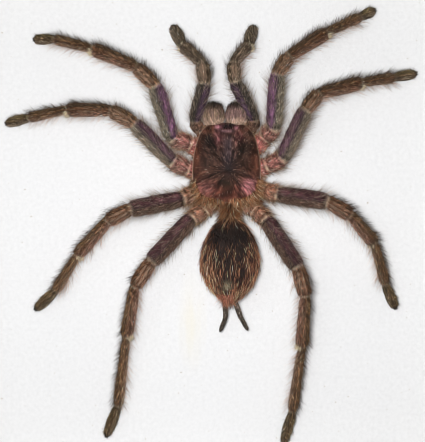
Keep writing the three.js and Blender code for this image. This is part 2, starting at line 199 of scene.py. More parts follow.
UNDERCOAT = HairKind(6500, (3, 20), 0.25, (1.0, 2.2), (0.12, 0.2))
STRANDS = HairKind(2700, (3, 16), 0.12, (1.8, 5.5), (0.11, 0.2))
WAIST_HAIRS = HairKind(1500, (40, 95), 0.3, (1.8, 5.0), (0.1, 0.18))
REAR_TUFT = HairKind(800, (0, 45), 0.4, (0.8, 2.4), (0.1, 0.2))

# A hair's least height off the board, how much of its width it loses towards the tip, and how
# hairy a palp is beside a leg
HAIR_CLEARANCE = 0.15
HAIR_TAPER = 0.75
PALP_AMOUNT = 0.5

# A hair's place in its cell of the colour chart, as shares of the cell
CHART_LEFT, CHART_BOTTOM, CHART_SPAN, CHART_SLANT = 0.15, 0.1, 0.7, 0.08

# The two claws at a leg's tip
CLAW_LENGTH = 1.1
CLAW_WIDTH = 0.32
CLAW_SPREAD = 0.35

# The seeds of the random draws; each next limb of a kind takes the next seed
LEG_SEED, PALP_SEED, SPINNERET_SEED, CARAPACE_SEED, ABDOMEN_SEED = 101, 109, 200, 300, 500
CHELICERA_SEEDS = {"left": 404, "right": 405}

# A yellowish run on the board, below the left of centre: place and half-sizes
STAIN_CENTRE = (-7, -34)
STAIN_SIZE = (6, 20)

# The camera stands square to the board, and its picture is as high as the photo
CAMERA_DISTANCE = 700
PHOTO_HEIGHT_PX = 442
MM_PER_PIXEL = 0.34
SENSOR_MM = 36

# The photograph is crisp, so the pixel filter is narrower than usual
PIXEL_FILTER_WIDTH = 0.9

# Softboxes round the camera's axis: place from the board's middle in metres (right, up and
# towards the camera), width in metres and power in watts
SOFTBOXES = {
    "left": ((-0.42, 0.16, 0.7), 0.25, 0.45),
    "upper_left": ((-0.25, 0.38, 0.7), 0.25, 0.15),
    "upper_right": ((0.25, 0.4, 0.8), 0.25, 0.02),
    "right": ((0.42, 0.16, 0.8), 0.25, 0.02),
}
FRONT_FILL = ((-0.02, 0.008, 0.38), 0.07, 0.665)
FILL_SPREAD = math.radians(120)

# Softboxes behind the board's face, for the frame's back and sides
REAR_SOFTBOXES = {
    "back": ((0.2, 0.8, -1.1), 0.8, 12.0),
    "side_left": ((-0.9, 0.3, -0.32), 0.5, 5.0),
    "side_right": ((0.9, 0.3, -0.32), 0.5, 5.0),
}

# The floor's own light, in watts per square metre, and how bright the camera sees the backdrop
FLOOR_SUN = 2.3
SUN_WIDTH = math.radians(80)
BACKDROP_STRENGTH = 0.7
WORLD_STRENGTH = 0.12
FLOOR_HALF_METRES = 30.0


# ------------------------------ small helpers


def to_row(points):
    """Board-frame millimetres to row-frame metres."""
    x, y, z = points[..., 0], points[..., 1], points[..., 2]
    return np.stack([x, BOARD_FRONT_Y - z, BOARD_CENTRE_Z + y], axis=-1) * MM


def on_board(x, y):
    """Points with no height."""
    return np.stack([x, y, 0 * x], -1)


def srgb(red, green, blue):
    """An 8-bit screen colour as linear light."""
    shares = np.array([red, green, blue]) / 255
    return np.where(shares <= 0.04045, shares / 12.92, ((shares + 0.055) / 1.055) ** 2.4)


def blend(first, second, share):
    share = np.clip(np.asarray(share, float), 0, 1)[..., None]
    return first * (1 - share) + second * share


def unit(vectors):
    return vectors / np.maximum(np.linalg.norm(vectors, axis=-1, keepdims=True), 1e-9)


def bump(distance, width):
    """1 at no distance, falling off smoothly over the width."""
    return np.exp(-((distance / width) ** 2))


def ramp(value, low, high):
    """0 below low, 1 above high, smooth between."""
    t = np.clip((value - low) / (high - low), 0, 1)
    return t * t * (3 - 2 * t)


def full_turn(sides):
    """Evenly spaced angles round a circle."""
    return 2 * math.pi * np.arange(sides) / sides


def circle_spokes(across, above, turn):
    """Directions at the turns' angles, for every pair of axes."""
    return across[:, None] * np.cos(turn)[:, None] + above[:, None] * np.sin(turn)[:, None]


def mottle(points, size, seed, waves=9):
    """Smooth uneven patches from -1 to 1, about size millimetres across."""
    rng = np.random.default_rng(seed)
    turns = rng.normal(size=(waves, 3)) * math.pi / size
    starts = rng.random(waves) * 2 * math.pi
    return np.sin(points @ turns.T + starts).sum(-1) * 1.4 / waves


# ------------------------------ colours, as the coat looks

# How the articles look, hairs included: front side, top and rear side
LEG_COLORS = {
    COXA: ((172, 106, 98), (190, 120, 112), (162, 102, 92)),
    TROCHANTER: ((152, 98, 88), (170, 112, 104), (146, 100, 90)),
    FEMUR: ((92, 64, 82), (86, 72, 76), (117, 108, 94)),
    PATELLA: ((102, 76, 56), (128, 92, 70), (122, 92, 74)),
    TIBIA: ((77, 58, 41), (99, 66, 46), (106, 76, 61)),
    METATARSUS: ((88, 68, 48), (112, 80, 56), (112, 86, 68)),
    TARSUS: ((86, 74, 50), (92, 74, 54), (94, 80, 66)),
}
REAR_LEG_COLORS = {
    COXA: ((184, 132, 104), (200, 144, 118), (182, 132, 112)),
    TROCHANTER: ((150, 102, 80), (170, 118, 96), (150, 108, 90)),
    FEMUR: ((66, 42, 44), (80, 56, 59), (86, 65, 56)),
    PATELLA: ((102, 70, 50), (120, 80, 60), (114, 82, 66)),
    TIBIA: ((98, 72, 48), (120, 84, 64), (122, 88, 74)),
    METATARSUS: ((108, 80, 56), (130, 96, 70), (124, 96, 76)),
    TARSUS: ((88, 72, 50), (92, 72, 52), (92, 78, 60)),
}
SECOND_LEG_COLORS = {**LEG_COLORS, FEMUR: ((78, 56, 64), (78, 66, 66), (118, 106, 92))}
PALP_COLORS = {
    COXA: ((126, 96, 82), (128, 96, 82), (114, 90, 78)),
    TROCHANTER: ((116, 86, 72), (116, 86, 72), (104, 82, 70)),
    FEMUR: ((57, 42, 52), (53, 43, 45), (74, 66, 60)),
    PATELLA: ((98, 82, 66), (118, 96, 80), (106, 90, 76)),
    TIBIA: ((92, 78, 64), (100, 84, 70), (94, 82, 70)),
    TARSUS: ((86, 74, 60), (88, 76, 62), (88, 76, 64)),
}
MEMBRANE_COLOR = srgb(226, 204, 174)
STRIPE_COLOR = srgb(184, 154, 130)
SPINNERET_COLORS = {
    SPINNERET_BASE: ((92, 80, 72), (96, 84, 76), (86, 76, 68)),
    SPINNERET_TIP: ((80, 70, 62), (88, 78, 68), (76, 68, 62)),
}

# Brightness of the skin under the coat, darkened as painted shade between the hairs; of the thinly haired
# glossy skin; and of single hairs
HAIRY_SHADOW = 0.6
GLOSSY_SHADOW = 1.2
COAT_GAIN = 1.5

# How strong the pale rings are at the far ends of articles, and the dark seams beside them
RING_STRENGTH = {COXA: 0.95, TROCHANTER: 0.8, FEMUR: 0.6, PATELLA: 0.55, TIBIA: 1.0, METATARSUS: 0.6}
PALP_RING_STRENGTH = {TROCHANTER: 0.2, FEMUR: 0.55, PATELLA: 0.5, TIBIA: 0.7}
SEAM_DARKENING = 0.5

# Streaks along the limbs
STREAK_WIDTH = 0.29
STREAK_DEPTH = 1.6

# Single hairs and small parts
PALE_HAIR = srgb(206, 180, 152)
DARK_HALO = srgb(66, 52, 42)
PALE_HALO = srgb(190, 160, 140)
FEMUR_HALO = srgb(140, 128, 112)
WOOL = srgb(196, 164, 148)
REAR_WOOL = srgb(198, 156, 124)
MEMBRANE_HAIR = srgb(246, 230, 196)
RUST_HAIR = srgb(146, 88, 60)
GOLD_HAIR = srgb(174, 122, 84)
PALE_GOLD = srgb(226, 196, 156)
# Near-black hairs, which partly stand for painted shade in the gaps of the coat
SHADE_HAIR = srgb(50, 32, 24)
FOOT_PAD = srgb(58, 50, 42)
CLAW_COLOR = srgb(30, 26, 24)
FANG_COLOR = srgb(34, 22, 18)
EYE_COLOR = srgb(30, 22, 20)

# The carapace
DARK_BROWN = srgb(74, 50, 42)
RUST_BROWN = srgb(104, 62, 48)
TAN_RIM = srgb(190, 154, 132)
FOVEA_COLOR = srgb(34, 27, 26)
CARAPACE_PALE_HAIR = srgb(196, 160, 142)
UNDERSIDE_BROWN = srgb(84, 56, 44)

# Patches on the carapace: centre and half-sizes in mm, colour, and how strong it is. The pink patches at
# the rear are painted sheen, and the pink spots round the eye mound are painted glints.
CARAPACE_PATCHES = {
    "rust_left": ((-5.1, 20.0), (1.5, 6.0), srgb(96, 56, 43), 0.75),
    "rust_right": ((14.0, 18.0), (1.6, 5.0), srgb(104, 60, 46), 0.6),
    "rear_red": ((5.0, 9.8), (7.5, 3.2), srgb(116, 62, 50), 0.75),
    "rear_olive": ((5.0, 11.8), (3.0, 3.6), srgb(38, 25, 16), 0.95),
    # Painted sheen: pink patches at the rear corners of the carapace
    "painted_sheen_rear_left": ((-2.3, 10.8), (2.6, 2.2), srgb(150, 96, 92), 0.6),
    "painted_sheen_rear_right": ((12.5, 11.4), (2.3, 2.1), srgb(200, 130, 134), 0.85),
    "dark_left": ((-1.6, 26.0), (3.2, 3.8), srgb(36, 25, 22), 0.95),
    "dark_right": ((11.1, 24.8), (3.6, 4.6), srgb(50, 37, 32), 0.85),
    "core": ((5.3, 19.5), (2.6, 4.6), srgb(44, 36, 40), 0.85),
    "front_left_red": ((1.9, 28.0), (1.3, 2.4), srgb(136, 84, 86), 0.75),
    "front_right_red": ((8.9, 28.2), (1.5, 2.2), srgb(112, 66, 66), 0.7),
    # Painted glints: small pink spots beside the eye mound
    "painted_glint_left_of_eyes": ((2.0, 31.4), (0.8, 0.6), srgb(222, 150, 162), 0.85),
    "painted_glint_right_of_eyes": ((8.0, 31.3), (0.8, 0.55), srgb(208, 138, 150), 0.75),
    "midline": ((5.1, 25.6), (1.5, 4.4), srgb(88, 72, 76), 0.8),
    # Painted glint: a pale pink arc behind the eye mound
    "painted_glint_behind_eyes": ((4.9, 30.1), (2.2, 0.45), srgb(186, 140, 148), 0.6),
    "eyes": ((5.0, 32.0), (2.6, 1.2), srgb(36, 18, 25), 1.7),
}

# The chelicerae
TAUPE = srgb(146, 122, 102)
MAUVE = srgb(150, 118, 114)
DARK_FRONT = srgb(66, 56, 50)
PALE_BASE = srgb(196, 166, 146)

# The abdomen
BLACK_HAIR = srgb(32, 24, 26)
BROWN_HAIR = srgb(92, 60, 54)
ORANGE_HAIR = srgb(170, 114, 86)
CREAM_HAIR = srgb(232, 184, 142)
TUFT_RED = srgb(208, 132, 106)
ABDOMEN_SKIN = srgb(44, 34, 31)
BARE_SKIN = srgb(132, 120, 98)

# The mount board and the glass
BOARD_WHITE = srgb(241, 241, 242)
BOARD_STAIN = srgb(236, 230, 210)
BOARD_SPECK = srgb(196, 188, 176)
BLACK, WHITE = (0, 0, 0), (1, 1, 1)
GLASS_ALPHA = 0.03


# ------------------------------ materials


def new_material(name, roughness, specular=0.5):
    material = bpy.data.materials.new(name)
    material.use_nodes = True
    shader = material.node_tree.nodes["Principled BSDF"]
    shader.inputs["Roughness"].default_value = roughness
    shader.inputs["Specular IOR Level"].default_value = specular
    return material, material.node_tree, shader


def add_node(tree, kind, **inputs):
    node = tree.nodes.new(kind)
    for name, value in inputs.items():
        node.inputs[name.replace("_", " ")].default_value = value
    return node


def object_coordinates(tree, stretch=(1, 1, 1)):
    coordinates = tree.nodes.new("ShaderNodeTexCoord")
    mapping = add_node(tree, "ShaderNodeMapping", Scale=stretch)
    tree.links.new(coordinates.outputs["Object"], mapping.inputs["Vector"])
    return mapping.outputs["Vector"]


def noise(tree, vector, scale, detail=4.0, roughness=0.55):
    node = add_node(tree, "ShaderNodeTexNoise", Scale=scale, Detail=detail, Roughness=roughness)
    tree.links.new(vector, node.inputs["Vector"])
    return node.outputs["Fac"]


def color_ramp(tree, factor, stops):
    node = tree.nodes.new("ShaderNodeValToRGB")
    elements = node.color_ramp.elements
    while len(elements) < len(stops):
        elements.new(0.5)
    for element, (place, color) in zip(elements, stops):
        element.position = place
        element.color = (*color, 1)
    tree.links.new(factor, node.inputs["Fac"])
    return node.outputs["Color"]


def map_range(tree, value, low, high):
    node = add_node(tree, "ShaderNodeMapRange", To_Min=low, To_Max=high)
    tree.links.new(value, node.inputs["Value"])
    return node.outputs["Result"]


def mix_colors(tree, mode, factor, first, second):
    node = tree.nodes.new("ShaderNodeMix")
    node.data_type = "RGBA"
    node.blend_type = mode
    sockets = {"Factor": node.inputs[0], "A": node.inputs[6], "B": node.inputs[7]}
    for name, value in {"Factor": factor, "A": first, "B": second}.items():
        if isinstance(value, bpy.types.NodeSocket):
            tree.links.new(value, sockets[name])
        elif name == "Factor":
            sockets[name].default_value = value
        else:
            sockets[name].default_value = (*value, 1)
    return node.outputs[2]


def add_bump(tree, shader, height, strength, distance_mm):
    node = add_node(tree, "ShaderNodeBump", Strength=strength, Distance=distance_mm * MM)
    tree.links.new(height, node.inputs["Height"])
    tree.links.new(node.outputs["Normal"], shader.inputs["Normal"])


def tinted_material(name, roughness, specular, grain_per_m, grain_depth, bump_mm=0.15):
    """A surface that takes its markings from the mesh's tint, with fine grain of its own."""
    material, tree, shader = new_material(name, roughness, specular)
    tint = tree.nodes.new("ShaderNodeAttribute")
    tint.attribute_name = "tint"
    vector = object_coordinates(tree)
    grain = noise(tree, vector, grain_per_m)
    shade = color_ramp(tree, grain, [(0.3, (1 - grain_depth,) * 3), (0.7, (1 + grain_depth,) * 3)])
    color = mix_colors(tree, "MULTIPLY", 1.0, tint.outputs["Color"], shade)
    tree.links.new(color, shader.inputs["Base Color"])
    tree.links.new(map_range(tree, grain, roughness * 0.8, roughness * 1.2), shader.inputs["Roughness"])
    add_bump(tree, shader, grain, 0.6, bump_mm)
    return material


# ------------------------------ mesh building


def make_piece(name, points, faces, tints, material, replaced=(), chart=None):
    """One mesh piece from triangles, with its markings as the point attribute tint."""
    mesh = bpy.data.meshes.new(name)
    mesh.vertices.add(len(points))
    mesh.vertices.foreach_set("co", to_row(points).astype(np.float32).ravel())
    mesh.loops.add(faces.size)
    mesh.loops.foreach_set("vertex_index", faces.astype(np.int32).ravel())
    mesh.polygons.add(len(faces))
    mesh.polygons.foreach_set("loop_start", np.arange(0, faces.size, 3, dtype=np.int32))
    mesh.update(calc_edges=True)
    mesh.shade_smooth()
    colors = np.ones((len(points), 4), np.float32)
    colors[:, :3] = np.clip(tints, 0, 1)
    mesh.attributes.new("tint", "FLOAT_COLOR", "POINT").data.foreach_set("color", colors.ravel())
    if chart is not None:
        layer = mesh.uv_layers.new(name="OFBake")
        layer.data.foreach_set("uv", chart[faces.ravel()].astype(np.float32).ravel())
    mesh.materials.append(material)
    piece = bpy.data.objects.new(name, mesh)
    bpy.context.scene.collection.objects.link(piece)
    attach(piece, "root")
    if replaced:
        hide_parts(*replaced)


def skin_rings(rings):
    """Points and triangles of a closed skin over an array of rings (rings, sides, 3)."""
    count, sides, _ = rings.shape
    ends = np.stack([rings[0].mean(0), rings[-1].mean(0)])
    points = np.concatenate([rings.reshape(-1, 3), ends])
    ring, side = np.meshgrid(np.arange(count - 1), np.arange(sides), indexing="ij")
    a = (ring * sides + side).ravel()
    b = (ring * sides + (side + 1) % sides).ravel()
    walls = np.concatenate([np.stack([a, b, b + sides], 1), np.stack([a, b + sides, a + sides], 1)])
    here = np.arange(sides)
    after = (here + 1) % sides
    last = (count - 1) * sides
    near = np.stack([np.full(sides, count * sides), after, here], 1)
    far = np.stack([np.full(sides, count * sides + 1), last + here, last + after], 1)
    return points, np.concatenate([walls, near, far])


class Coat:
    """The hairs of one piece. Every hair is a closed three-sided spike."""

    def __init__(self):
        self.points, self.faces, self.tints = [], [], []
        self.owners, self.stations, self.corners = [], [], []
        self.hairs = 0
        self.point_count = 0

    def grow(self, roots, aims, bends, lengths, widths, tints, steps=1, sway=None, tip_shade=1.0):
        """aims is the direction at the root, bends what is added to it towards the tip."""
        hairs = len(roots)
        t = np.linspace(0, 1, steps + 1)
        reach = lengths[:, None, None]
        spine = roots[:, None] + reach * (aims[:, None] * t[:, None] + bends[:, None] * t[:, None] ** 2)
        if sway is not None:
            spine = spine + sway(t)
        spine[..., 2] = np.maximum(spine[..., 2], HAIR_CLEARANCE)
        steep = np.abs(aims[:, 2:]) > 0.9
        reference = np.where(steep, [1.0, 0, 0], [0, 0, 1.0])
        across = unit(np.cross(reference, aims))
        above = np.cross(aims, across)
        spoke = circle_spokes(across, above, full_turn(3))
        radius = widths[:, None] / 2 * (1 - HAIR_TAPER * t[:-1])
        rings = spine[:, :-1, None] + radius[:, :, None, None] * spoke[:, None]
        per_hair = 3 * steps + 1
        points = np.concatenate([rings.reshape(hairs, -1, 3), spine[:, -1:]], axis=1)
        starts = self.point_count + per_hair * np.arange(hairs)
        faces = self.spike_faces(steps) + starts[:, None, None]
        stations = np.append(np.repeat(t[:-1], 3), 1.0)
        shade = 1 + (tip_shade - 1) * stations
        self.points.append(points.reshape(-1, 3))
        self.faces.append(faces.reshape(-1, 3))
        self.tints.append((tints[:, None] * shade[:, None]).reshape(-1, 3))
        self.owners.append(np.repeat(self.hairs + np.arange(hairs), per_hair))
        self.stations.append(np.tile(stations, hairs))
        self.corners.append(np.tile(np.append(np.tile([0.0, 0.5, 1.0], steps), 0.5), hairs))
        self.hairs += hairs
        self.point_count += hairs * per_hair

    def plant(self, kind, rng, roots, aims, bends, tints, steps=1):
        """Hairs whose lengths and widths are drawn from their kind."""
        lengths = between(rng, kind.length, len(roots))
        widths = between(rng, kind.width, len(roots))
        self.grow(roots, aims, bends, lengths, widths, tints, steps)

    @staticmethod
    def spike_faces(steps):
        """The triangles of one hair: its root, its sides and its tip."""
        faces = [(0, 2, 1)]
        for step in range(steps - 1):
            for side in range(3):
                a, b = 3 * step + side, 3 * step + (side + 1) % 3
                faces += [(a, b, b + 3), (a, b + 3, a + 3)]
        last = 3 * (steps - 1)
        faces += [(last + side, last + (side + 1) % 3, last + 3) for side in range(3)]
        return np.array(faces)

    def chart(self):
        """A colour chart with one cell for each hair, root at the bottom and tip at the top."""
        owners = np.concatenate(self.owners)
        cells = math.ceil(math.sqrt(self.hairs))
        corners = np.concatenate(self.corners)
        slant = CHART_SLANT * (corners == 0.5)
        u = (owners % cells + CHART_LEFT + CHART_SPAN * corners) / cells
        v = (owners // cells + CHART_BOTTOM + CHART_SPAN * np.concatenate(self.stations) + slant) / cells
        return np.stack([u, v], axis=1)

    def build(self, name, material, slot):
        points = np.concatenate(self.points)
        faces = np.concatenate(self.faces)
        tints = np.concatenate(self.tints)
        make_piece(name, points, faces, tints, material, chart=self.chart())


def between(rng, limits, count):
    """A value for each hair, drawn between two limits, or the same for all where there is one."""
    if np.isscalar(limits):
        return np.full(count, limits)
    return rng.uniform(*limits, count)


def hair_aims(kind, outward, along, rng, lift_deg=None):
    """Directions that lean off a surface by the kind's lift, towards along, with some stray."""
    if lift_deg is None:
        lift_deg = between(rng, kind.lift, len(outward))
    lift = np.radians(lift_deg)[:, None]
    aims = unit(along) * np.cos(lift) + outward * np.sin(lift)
    return unit(aims + rng.normal(size=aims.shape) * kind.stray)


def recolor(tints, chosen, color):
    """The tints of hairs, with the chosen ones in another colour."""
    return np.where(chosen[:, None], color, tints)


def random_turns(rng, count):
    """An angle for each hair."""
    return 2 * math.pi * rng.random(count)


def shades(rng, count, spread):
    """A brightness factor for each hair."""
    return np.exp(rng.normal(size=count) * spread)[:, None]


# ------------------------------ limbs


class Limb:
    """A limb's smoothed centre line, with its axes, radius and article at every step."""

    def __init__(self, name, plan, heights, radii, articles):
        joints = np.column_stack([np.array(plan, float), np.array(heights, float)])
        lengths = np.linalg.norm(np.diff(joints, axis=0), axis=1)
        self.marks = np.concatenate([[0], np.cumsum(lengths)])
        self.length = self.marks[-1]
        self.left = name.endswith("left")
        self.ring_strength = PALP_RING_STRENGTH if name.startswith("pedipalp") else RING_STRENGTH
        self.s = np.linspace(0, self.length, int(self.length / LIMB_STEP) + 1)
        self.article_at = np.array(articles)
        line = np.stack([np.interp(self.s, self.marks, joints[:, i]) for i in range(3)], axis=1)
        self.centre = self.smooth(line)
        self.tangent = unit(np.gradient(self.centre, axis=0))
        off_board = np.array([0, 0, 1.0])
        side = unit(np.cross(off_board, self.tangent))
        self.front = -side if self.left else side
        self.top = unit(np.cross(self.tangent, side))
        self.radius = self.radii_along(radii)

    def smooth(self, line):
        window = int(LIMB_SMOOTHING / LIMB_STEP) | 1
        padded = np.pad(line, ((window // 2,) * 2, (0, 0)), mode="reflect", reflect_type="odd")
        kernel = np.hanning(window + 2)[1:-1]
        return np.stack([np.convolve(padded[:, i], kernel / kernel.sum(), "valid") for i in range(3)], 1)

    def radii_along(self, radii):
        index = self.index(self.s)
        place = self.place(self.s)
        swells = [np.interp(p, SWELL_PLACES, SWELLS[self.article_at[i]]) for p, i in zip(place, index)]
        radius = np.pad(np.array(radii)[index] * swells, 1, mode="edge")
        return (radius[:-2] + 2 * radius[1:-1] + radius[2:]) / 4

    def index(self, s):
        return np.clip(np.searchsorted(self.marks, s, side="right") - 1, 0, len(self.marks) - 2)

    def place(self, s):
        """How far along its article a place is, from 0 to 1."""
        index = self.index(s)
        return (s - self.marks[index]) / (self.marks[index + 1] - self.marks[index])

    def articles(self, s):
        return self.article_at[self.index(s)]

    def along(self, values, s):
        return np.stack([np.interp(s, self.s, values[:, i]) for i in range(3)], axis=1)

    def surface(self, s, angle):
        """Places on the skin and the outward directions. Angle 0 is the front, 90 the top."""
        outward = self.along(self.front, s) * np.cos(angle)[:, None]
        outward = unit(outward + self.along(self.top, s) * np.sin(angle)[:, None])
        radius = np.interp(s, self.s, self.radius)[:, None]
        return self.along(self.centre, s) + outward * radius, outward

    def combed(self, kind, s, angle, rng):
        """Roots and outward directions on the skin, and aims that lean towards the limb's tip."""
        roots, outward = self.surface(s, angle)
        return roots, outward, hair_aims(kind, outward, self.along(self.tangent, s), rng)

    def skin(self, sides):
        turn = -full_turn(sides) if self.left else full_turn(sides)
        s = np.repeat(self.s, sides)
        angle = np.tile(turn, len(self.s))
        points, _ = self.surface(s, angle)
        return points.reshape(len(self.s), sides, 3), s, angle


def article_tints(limb, s, angle, palette):
    """The colour of the cuticle and its short hairs at places on a limb, with a painted highlight line
    along the femur's front.
    """
    article = limb.articles(s)
    front, top, rear = (
        np.array([srgb(*palette[a][side]) if a in palette else BLACK for a in SWELLS])[article]
        for side in range(3)
    )
    points, _ = limb.surface(s, angle)
    femoral = article == FEMUR
    frontness = np.cos(angle) + np.where(femoral, 0.08, 0.25) * mottle(points, 1.8, seed=6)
    front_share = ramp(frontness, np.where(femoral, -0.1, 0.15), np.where(femoral, 0.2, 0.6))
    rear_share = ramp(-frontness, np.where(femoral, 0.05, 0.1), np.where(femoral, 0.35, 0.55))
    tints = blend(blend(top, front, front_share), rear, rear_share)
    # The lighter line along the front of the femur is a painted highlight
    painted_highlight = 0.5 * femoral * bump(np.cos(angle) - 0.5, 0.14)
    return tints * (1 + painted_highlight + 0.2 * mottle(points, 2.2, seed=5))[:, None]


def stripe_share(limb, s, angle):
    """The paired pale bald stripes along a patella, and fainter ones on the tibia."""
    article, place = limb.articles(s), limb.place(s)
    across = np.minimum(np.abs(np.cos(angle) - 0.22), np.abs(np.cos(angle) + 0.34))
    stripe = bump(across, 0.13) * (np.sin(angle) > 0)
    extent = ramp(place, 0.08, 0.2) * (1 - ramp(place, 0.8, 0.95))
    strength = np.select([article == PATELLA, article == TIBIA], [0.7, 0.35 * (place < 0.7)], 0)
    return stripe * extent * strength


def ring_share(limb, s, angle):
    """How much of the pale joint membrane shows; it is broken, and widest behind the tibia's end."""
    joints = limb.marks[1:-1]
    gaps = s[:, None] - joints
    strengths = np.array([limb.ring_strength.get(a, 0) for a in limb.article_at[:-1]])
    rearward = ramp(-np.cos(angle), -0.3, 0.9)[:, None]
    widths = 0.38 + 0.9 * rearward * (strengths >= 1)
    points, _ = limb.surface(s, angle)
    shown = ramp(mottle(points, 1.3, seed=8), -0.7, 0.3)
    return (bump(gaps / widths, 1) * strengths * (0.7 + 0.3 * rearward)).max(1) * (0.3 + 0.7 * shown)


def seam_share(limb, s):
    """The dark seams on both sides of each joint membrane, deepest at the coxa and trochanter."""
    gaps = np.abs(s[:, None] - limb.marks[1:-1])
    depths = np.where(limb.article_at[:-1] <= TROCHANTER, 1.5, 1)
    return (bump(gaps - 0.95, 0.35) * depths).max(1)


def joint_shortening(limb, s, least, reach):
    """How hairs shorten towards the far end of their article, down to the least share."""
    to_joint = limb.marks[limb.index(s) + 1] - s
    return least + (1 - least) * ramp(to_joint, 0, reach)


def limb_skin(limb, name, palette, material, sides=LIMB_SIDES):
    rings, s, angle = limb.skin(sides)
    points, faces = skin_rings(rings)
    # The skin carries painted shade under the hairs, less where the femur is glossy and thinly haired
    shadow = HAIRY_SHADOW + (GLOSSY_SHADOW - HAIRY_SHADOW) * glossy_share(limb, s, angle)
    tints = article_tints(limb, s, angle, palette) * shadow[:, None]
    tints = tints * np.exp(STREAK_DEPTH * streaks(limb, s, angle))[:, None]
    tints = tints * (1 - SEAM_DARKENING * seam_share(limb, s))[:, None]
    tints = blend(tints, STRIPE_COLOR, stripe_share(limb, s, angle))
    tints = blend(tints, MEMBRANE_COLOR, ring_share(limb, s, angle))
    tints = np.concatenate([tints, tints[:1], tints[-1:]])
    make_piece(f"{name}_skin", points, faces, tints, material, replaced=(name,))


def streaks(limb, s, angle):
    """Uneven tone that is drawn out along the limb, longer and fainter on the femur."""
    femoral = limb.articles(s) == FEMUR
    stretch = np.where(femoral, 8, 4)
    unrolled = np.stack([s / stretch, 2.2 * np.cos(angle), 2.2 * np.sin(angle)], axis=1)
    return mottle(unrolled, STREAK_WIDTH, seed=7) * np.where(femoral, 0.65, 1)


def hair_tints(limb, s, angle, palette, rng, spread, pale_share):
    """Streaky article colours, with single hairs that have gone pale."""
    count = len(s)
    tone = COAT_GAIN * np.exp(STREAK_DEPTH * streaks(limb, s, angle))[:, None]
    tints = article_tints(limb, s, angle, palette) * tone * shades(rng, count, spread)
    return recolor(tints, rng.random(count) < pale_share, blend(tints, PALE_HAIR, 0.6))


def scatter(limb, rng, count, start=1.5, end=0.8):
    """Random places all round a limb, from start to just short of its tip."""
    s = start + (limb.length - start - end) * rng.random(count)
    angle = random_turns(rng, count)
    return s, angle


def glossy_share(limb, s, angle):
    """The front of the femur is glossy and thinly haired."""
    return (limb.articles(s) == FEMUR) * ramp(np.cos(angle), -0.3, 0.3)


def fuzzy_share(limb, s, angle):
    """The bristly side: the front of an article, but the rear of the femur."""
    rearward = np.where(limb.articles(s) == FEMUR, 1, -1)
    return ramp(0.8 * np.sin(angle) - 0.8 * rearward * np.cos(angle), -0.6, 0.8)


def pelt(limb, coat, rng, palette, amount):
    """Short setae that lie along the limb."""
    s, angle = scatter(limb, rng, int(PELT.count * amount))
    bald = np.maximum(0.5 * glossy_share(limb, s, angle), stripe_share(limb, s, angle))
    bald = np.maximum(bald, ring_share(limb, s, angle))
    kept = rng.random(len(s)) > bald
    s, angle = s[kept], angle[kept]
    roots, outward, aims = limb.combed(PELT, s, angle, rng)
    lengths = between(rng, PELT.length, len(s)) * joint_shortening(limb, s, least=0.25, reach=1.8)
    widths = between(rng, PELT.width, len(s))
    tints = hair_tints(limb, s, angle, palette, rng, spread=0.65, pale_share=0.1)
    tints = tints * (1 - SEAM_DARKENING * seam_share(limb, s))[:, None]
    coat.grow(roots, aims, -0.1 * outward, lengths, widths, tints)


def bristles(limb, coat, rng, palette, amount):
    """Stiff setae that stand half off the limb, dark but for the grey fuzz of the femur."""
    s, angle = scatter(limb, rng, int(BRISTLES.count * amount))
    femoral = limb.articles(s) <= FEMUR
    kept = rng.random(len(s)) < 0.1 + (0.7 + 0.3 * femoral) * fuzzy_share(limb, s, angle)
    s, angle, femoral = s[kept], angle[kept], femoral[kept]
    roots, _, aims = limb.combed(BRISTLES, s, angle, rng)
    lengths = between(rng, BRISTLES.length, len(s)) * joint_shortening(limb, s, least=0.5, reach=1.6)
    widths = between(rng, BRISTLES.width, len(s))
    darkening = 0.5 + 0.5 * femoral
    tints = darkening[:, None] * hair_tints(limb, s, angle, palette, rng, spread=0.5, pale_share=0.14)
    bends = 0.15 * limb.along(limb.tangent, s)
    coat.grow(roots, aims, bends, lengths, widths, tints, steps=2, tip_shade=1.3)


def halo(limb, coat, rng, amount):
    """Long setae that stand well off the limb, dark and stiff in front, pale and fine behind."""
    s, angle = scatter(limb, rng, int(HALO.count * amount), start=5)
    article = limb.articles(s)
    stiff = ramp(fuzzy_share(limb, s, angle), 0.35, 0.75) * (article > FEMUR)
    kept = (article != TARSUS) & (rng.random(len(s)) < 0.58 + 0.3 * stiff)
    s, angle, article, stiff = s[kept], angle[kept], article[kept], stiff[kept]
    count = len(s)
    roots, outward = limb.surface(s, angle)
    low, high = HALO.lift
    lift = (low + high) / 2 + (rng.random(count) - 0.5) * (high - low - 12 * stiff)
    along = limb.along(limb.tangent, s)
    aims = hair_aims(HALO, outward, along, rng, lift)
    lengths = between(rng, HALO.length, count) * (1 - 0.28 * stiff)
    widths = between(rng, HALO.width, count) + 0.015 * stiff
    colors = blend(PALE_HALO, FEMUR_HALO, 0.7 * (article <= FEMUR))
    tints = blend(colors, DARK_HALO, stiff) * shades(rng, count, 0.35)
    bends = 0.25 * along + rng.normal(size=(count, 3)) * 0.05
    coat.grow(roots, aims, bends, lengths, widths, tints, steps=2, tip_shade=1.2)


def joint_tufts(limb, coat, rng, amount):
    """Cream hairs that show behind the joint between tibia and metatarsus."""
    count = int(JOINT_TUFT.count * amount)
    joints = limb.marks[1:][limb.article_at == TIBIA]
    s = rng.choice(joints, count) + rng.uniform(-1.0, 0.6, count)
    angle = math.pi + rng.normal(size=count) * 0.6
    roots, _, aims = limb.combed(JOINT_TUFT, s, angle, rng)
    coat.plant(JOINT_TUFT, rng, roots, aims, 0 * aims, MEMBRANE_HAIR * shades(rng, count, 0.08))


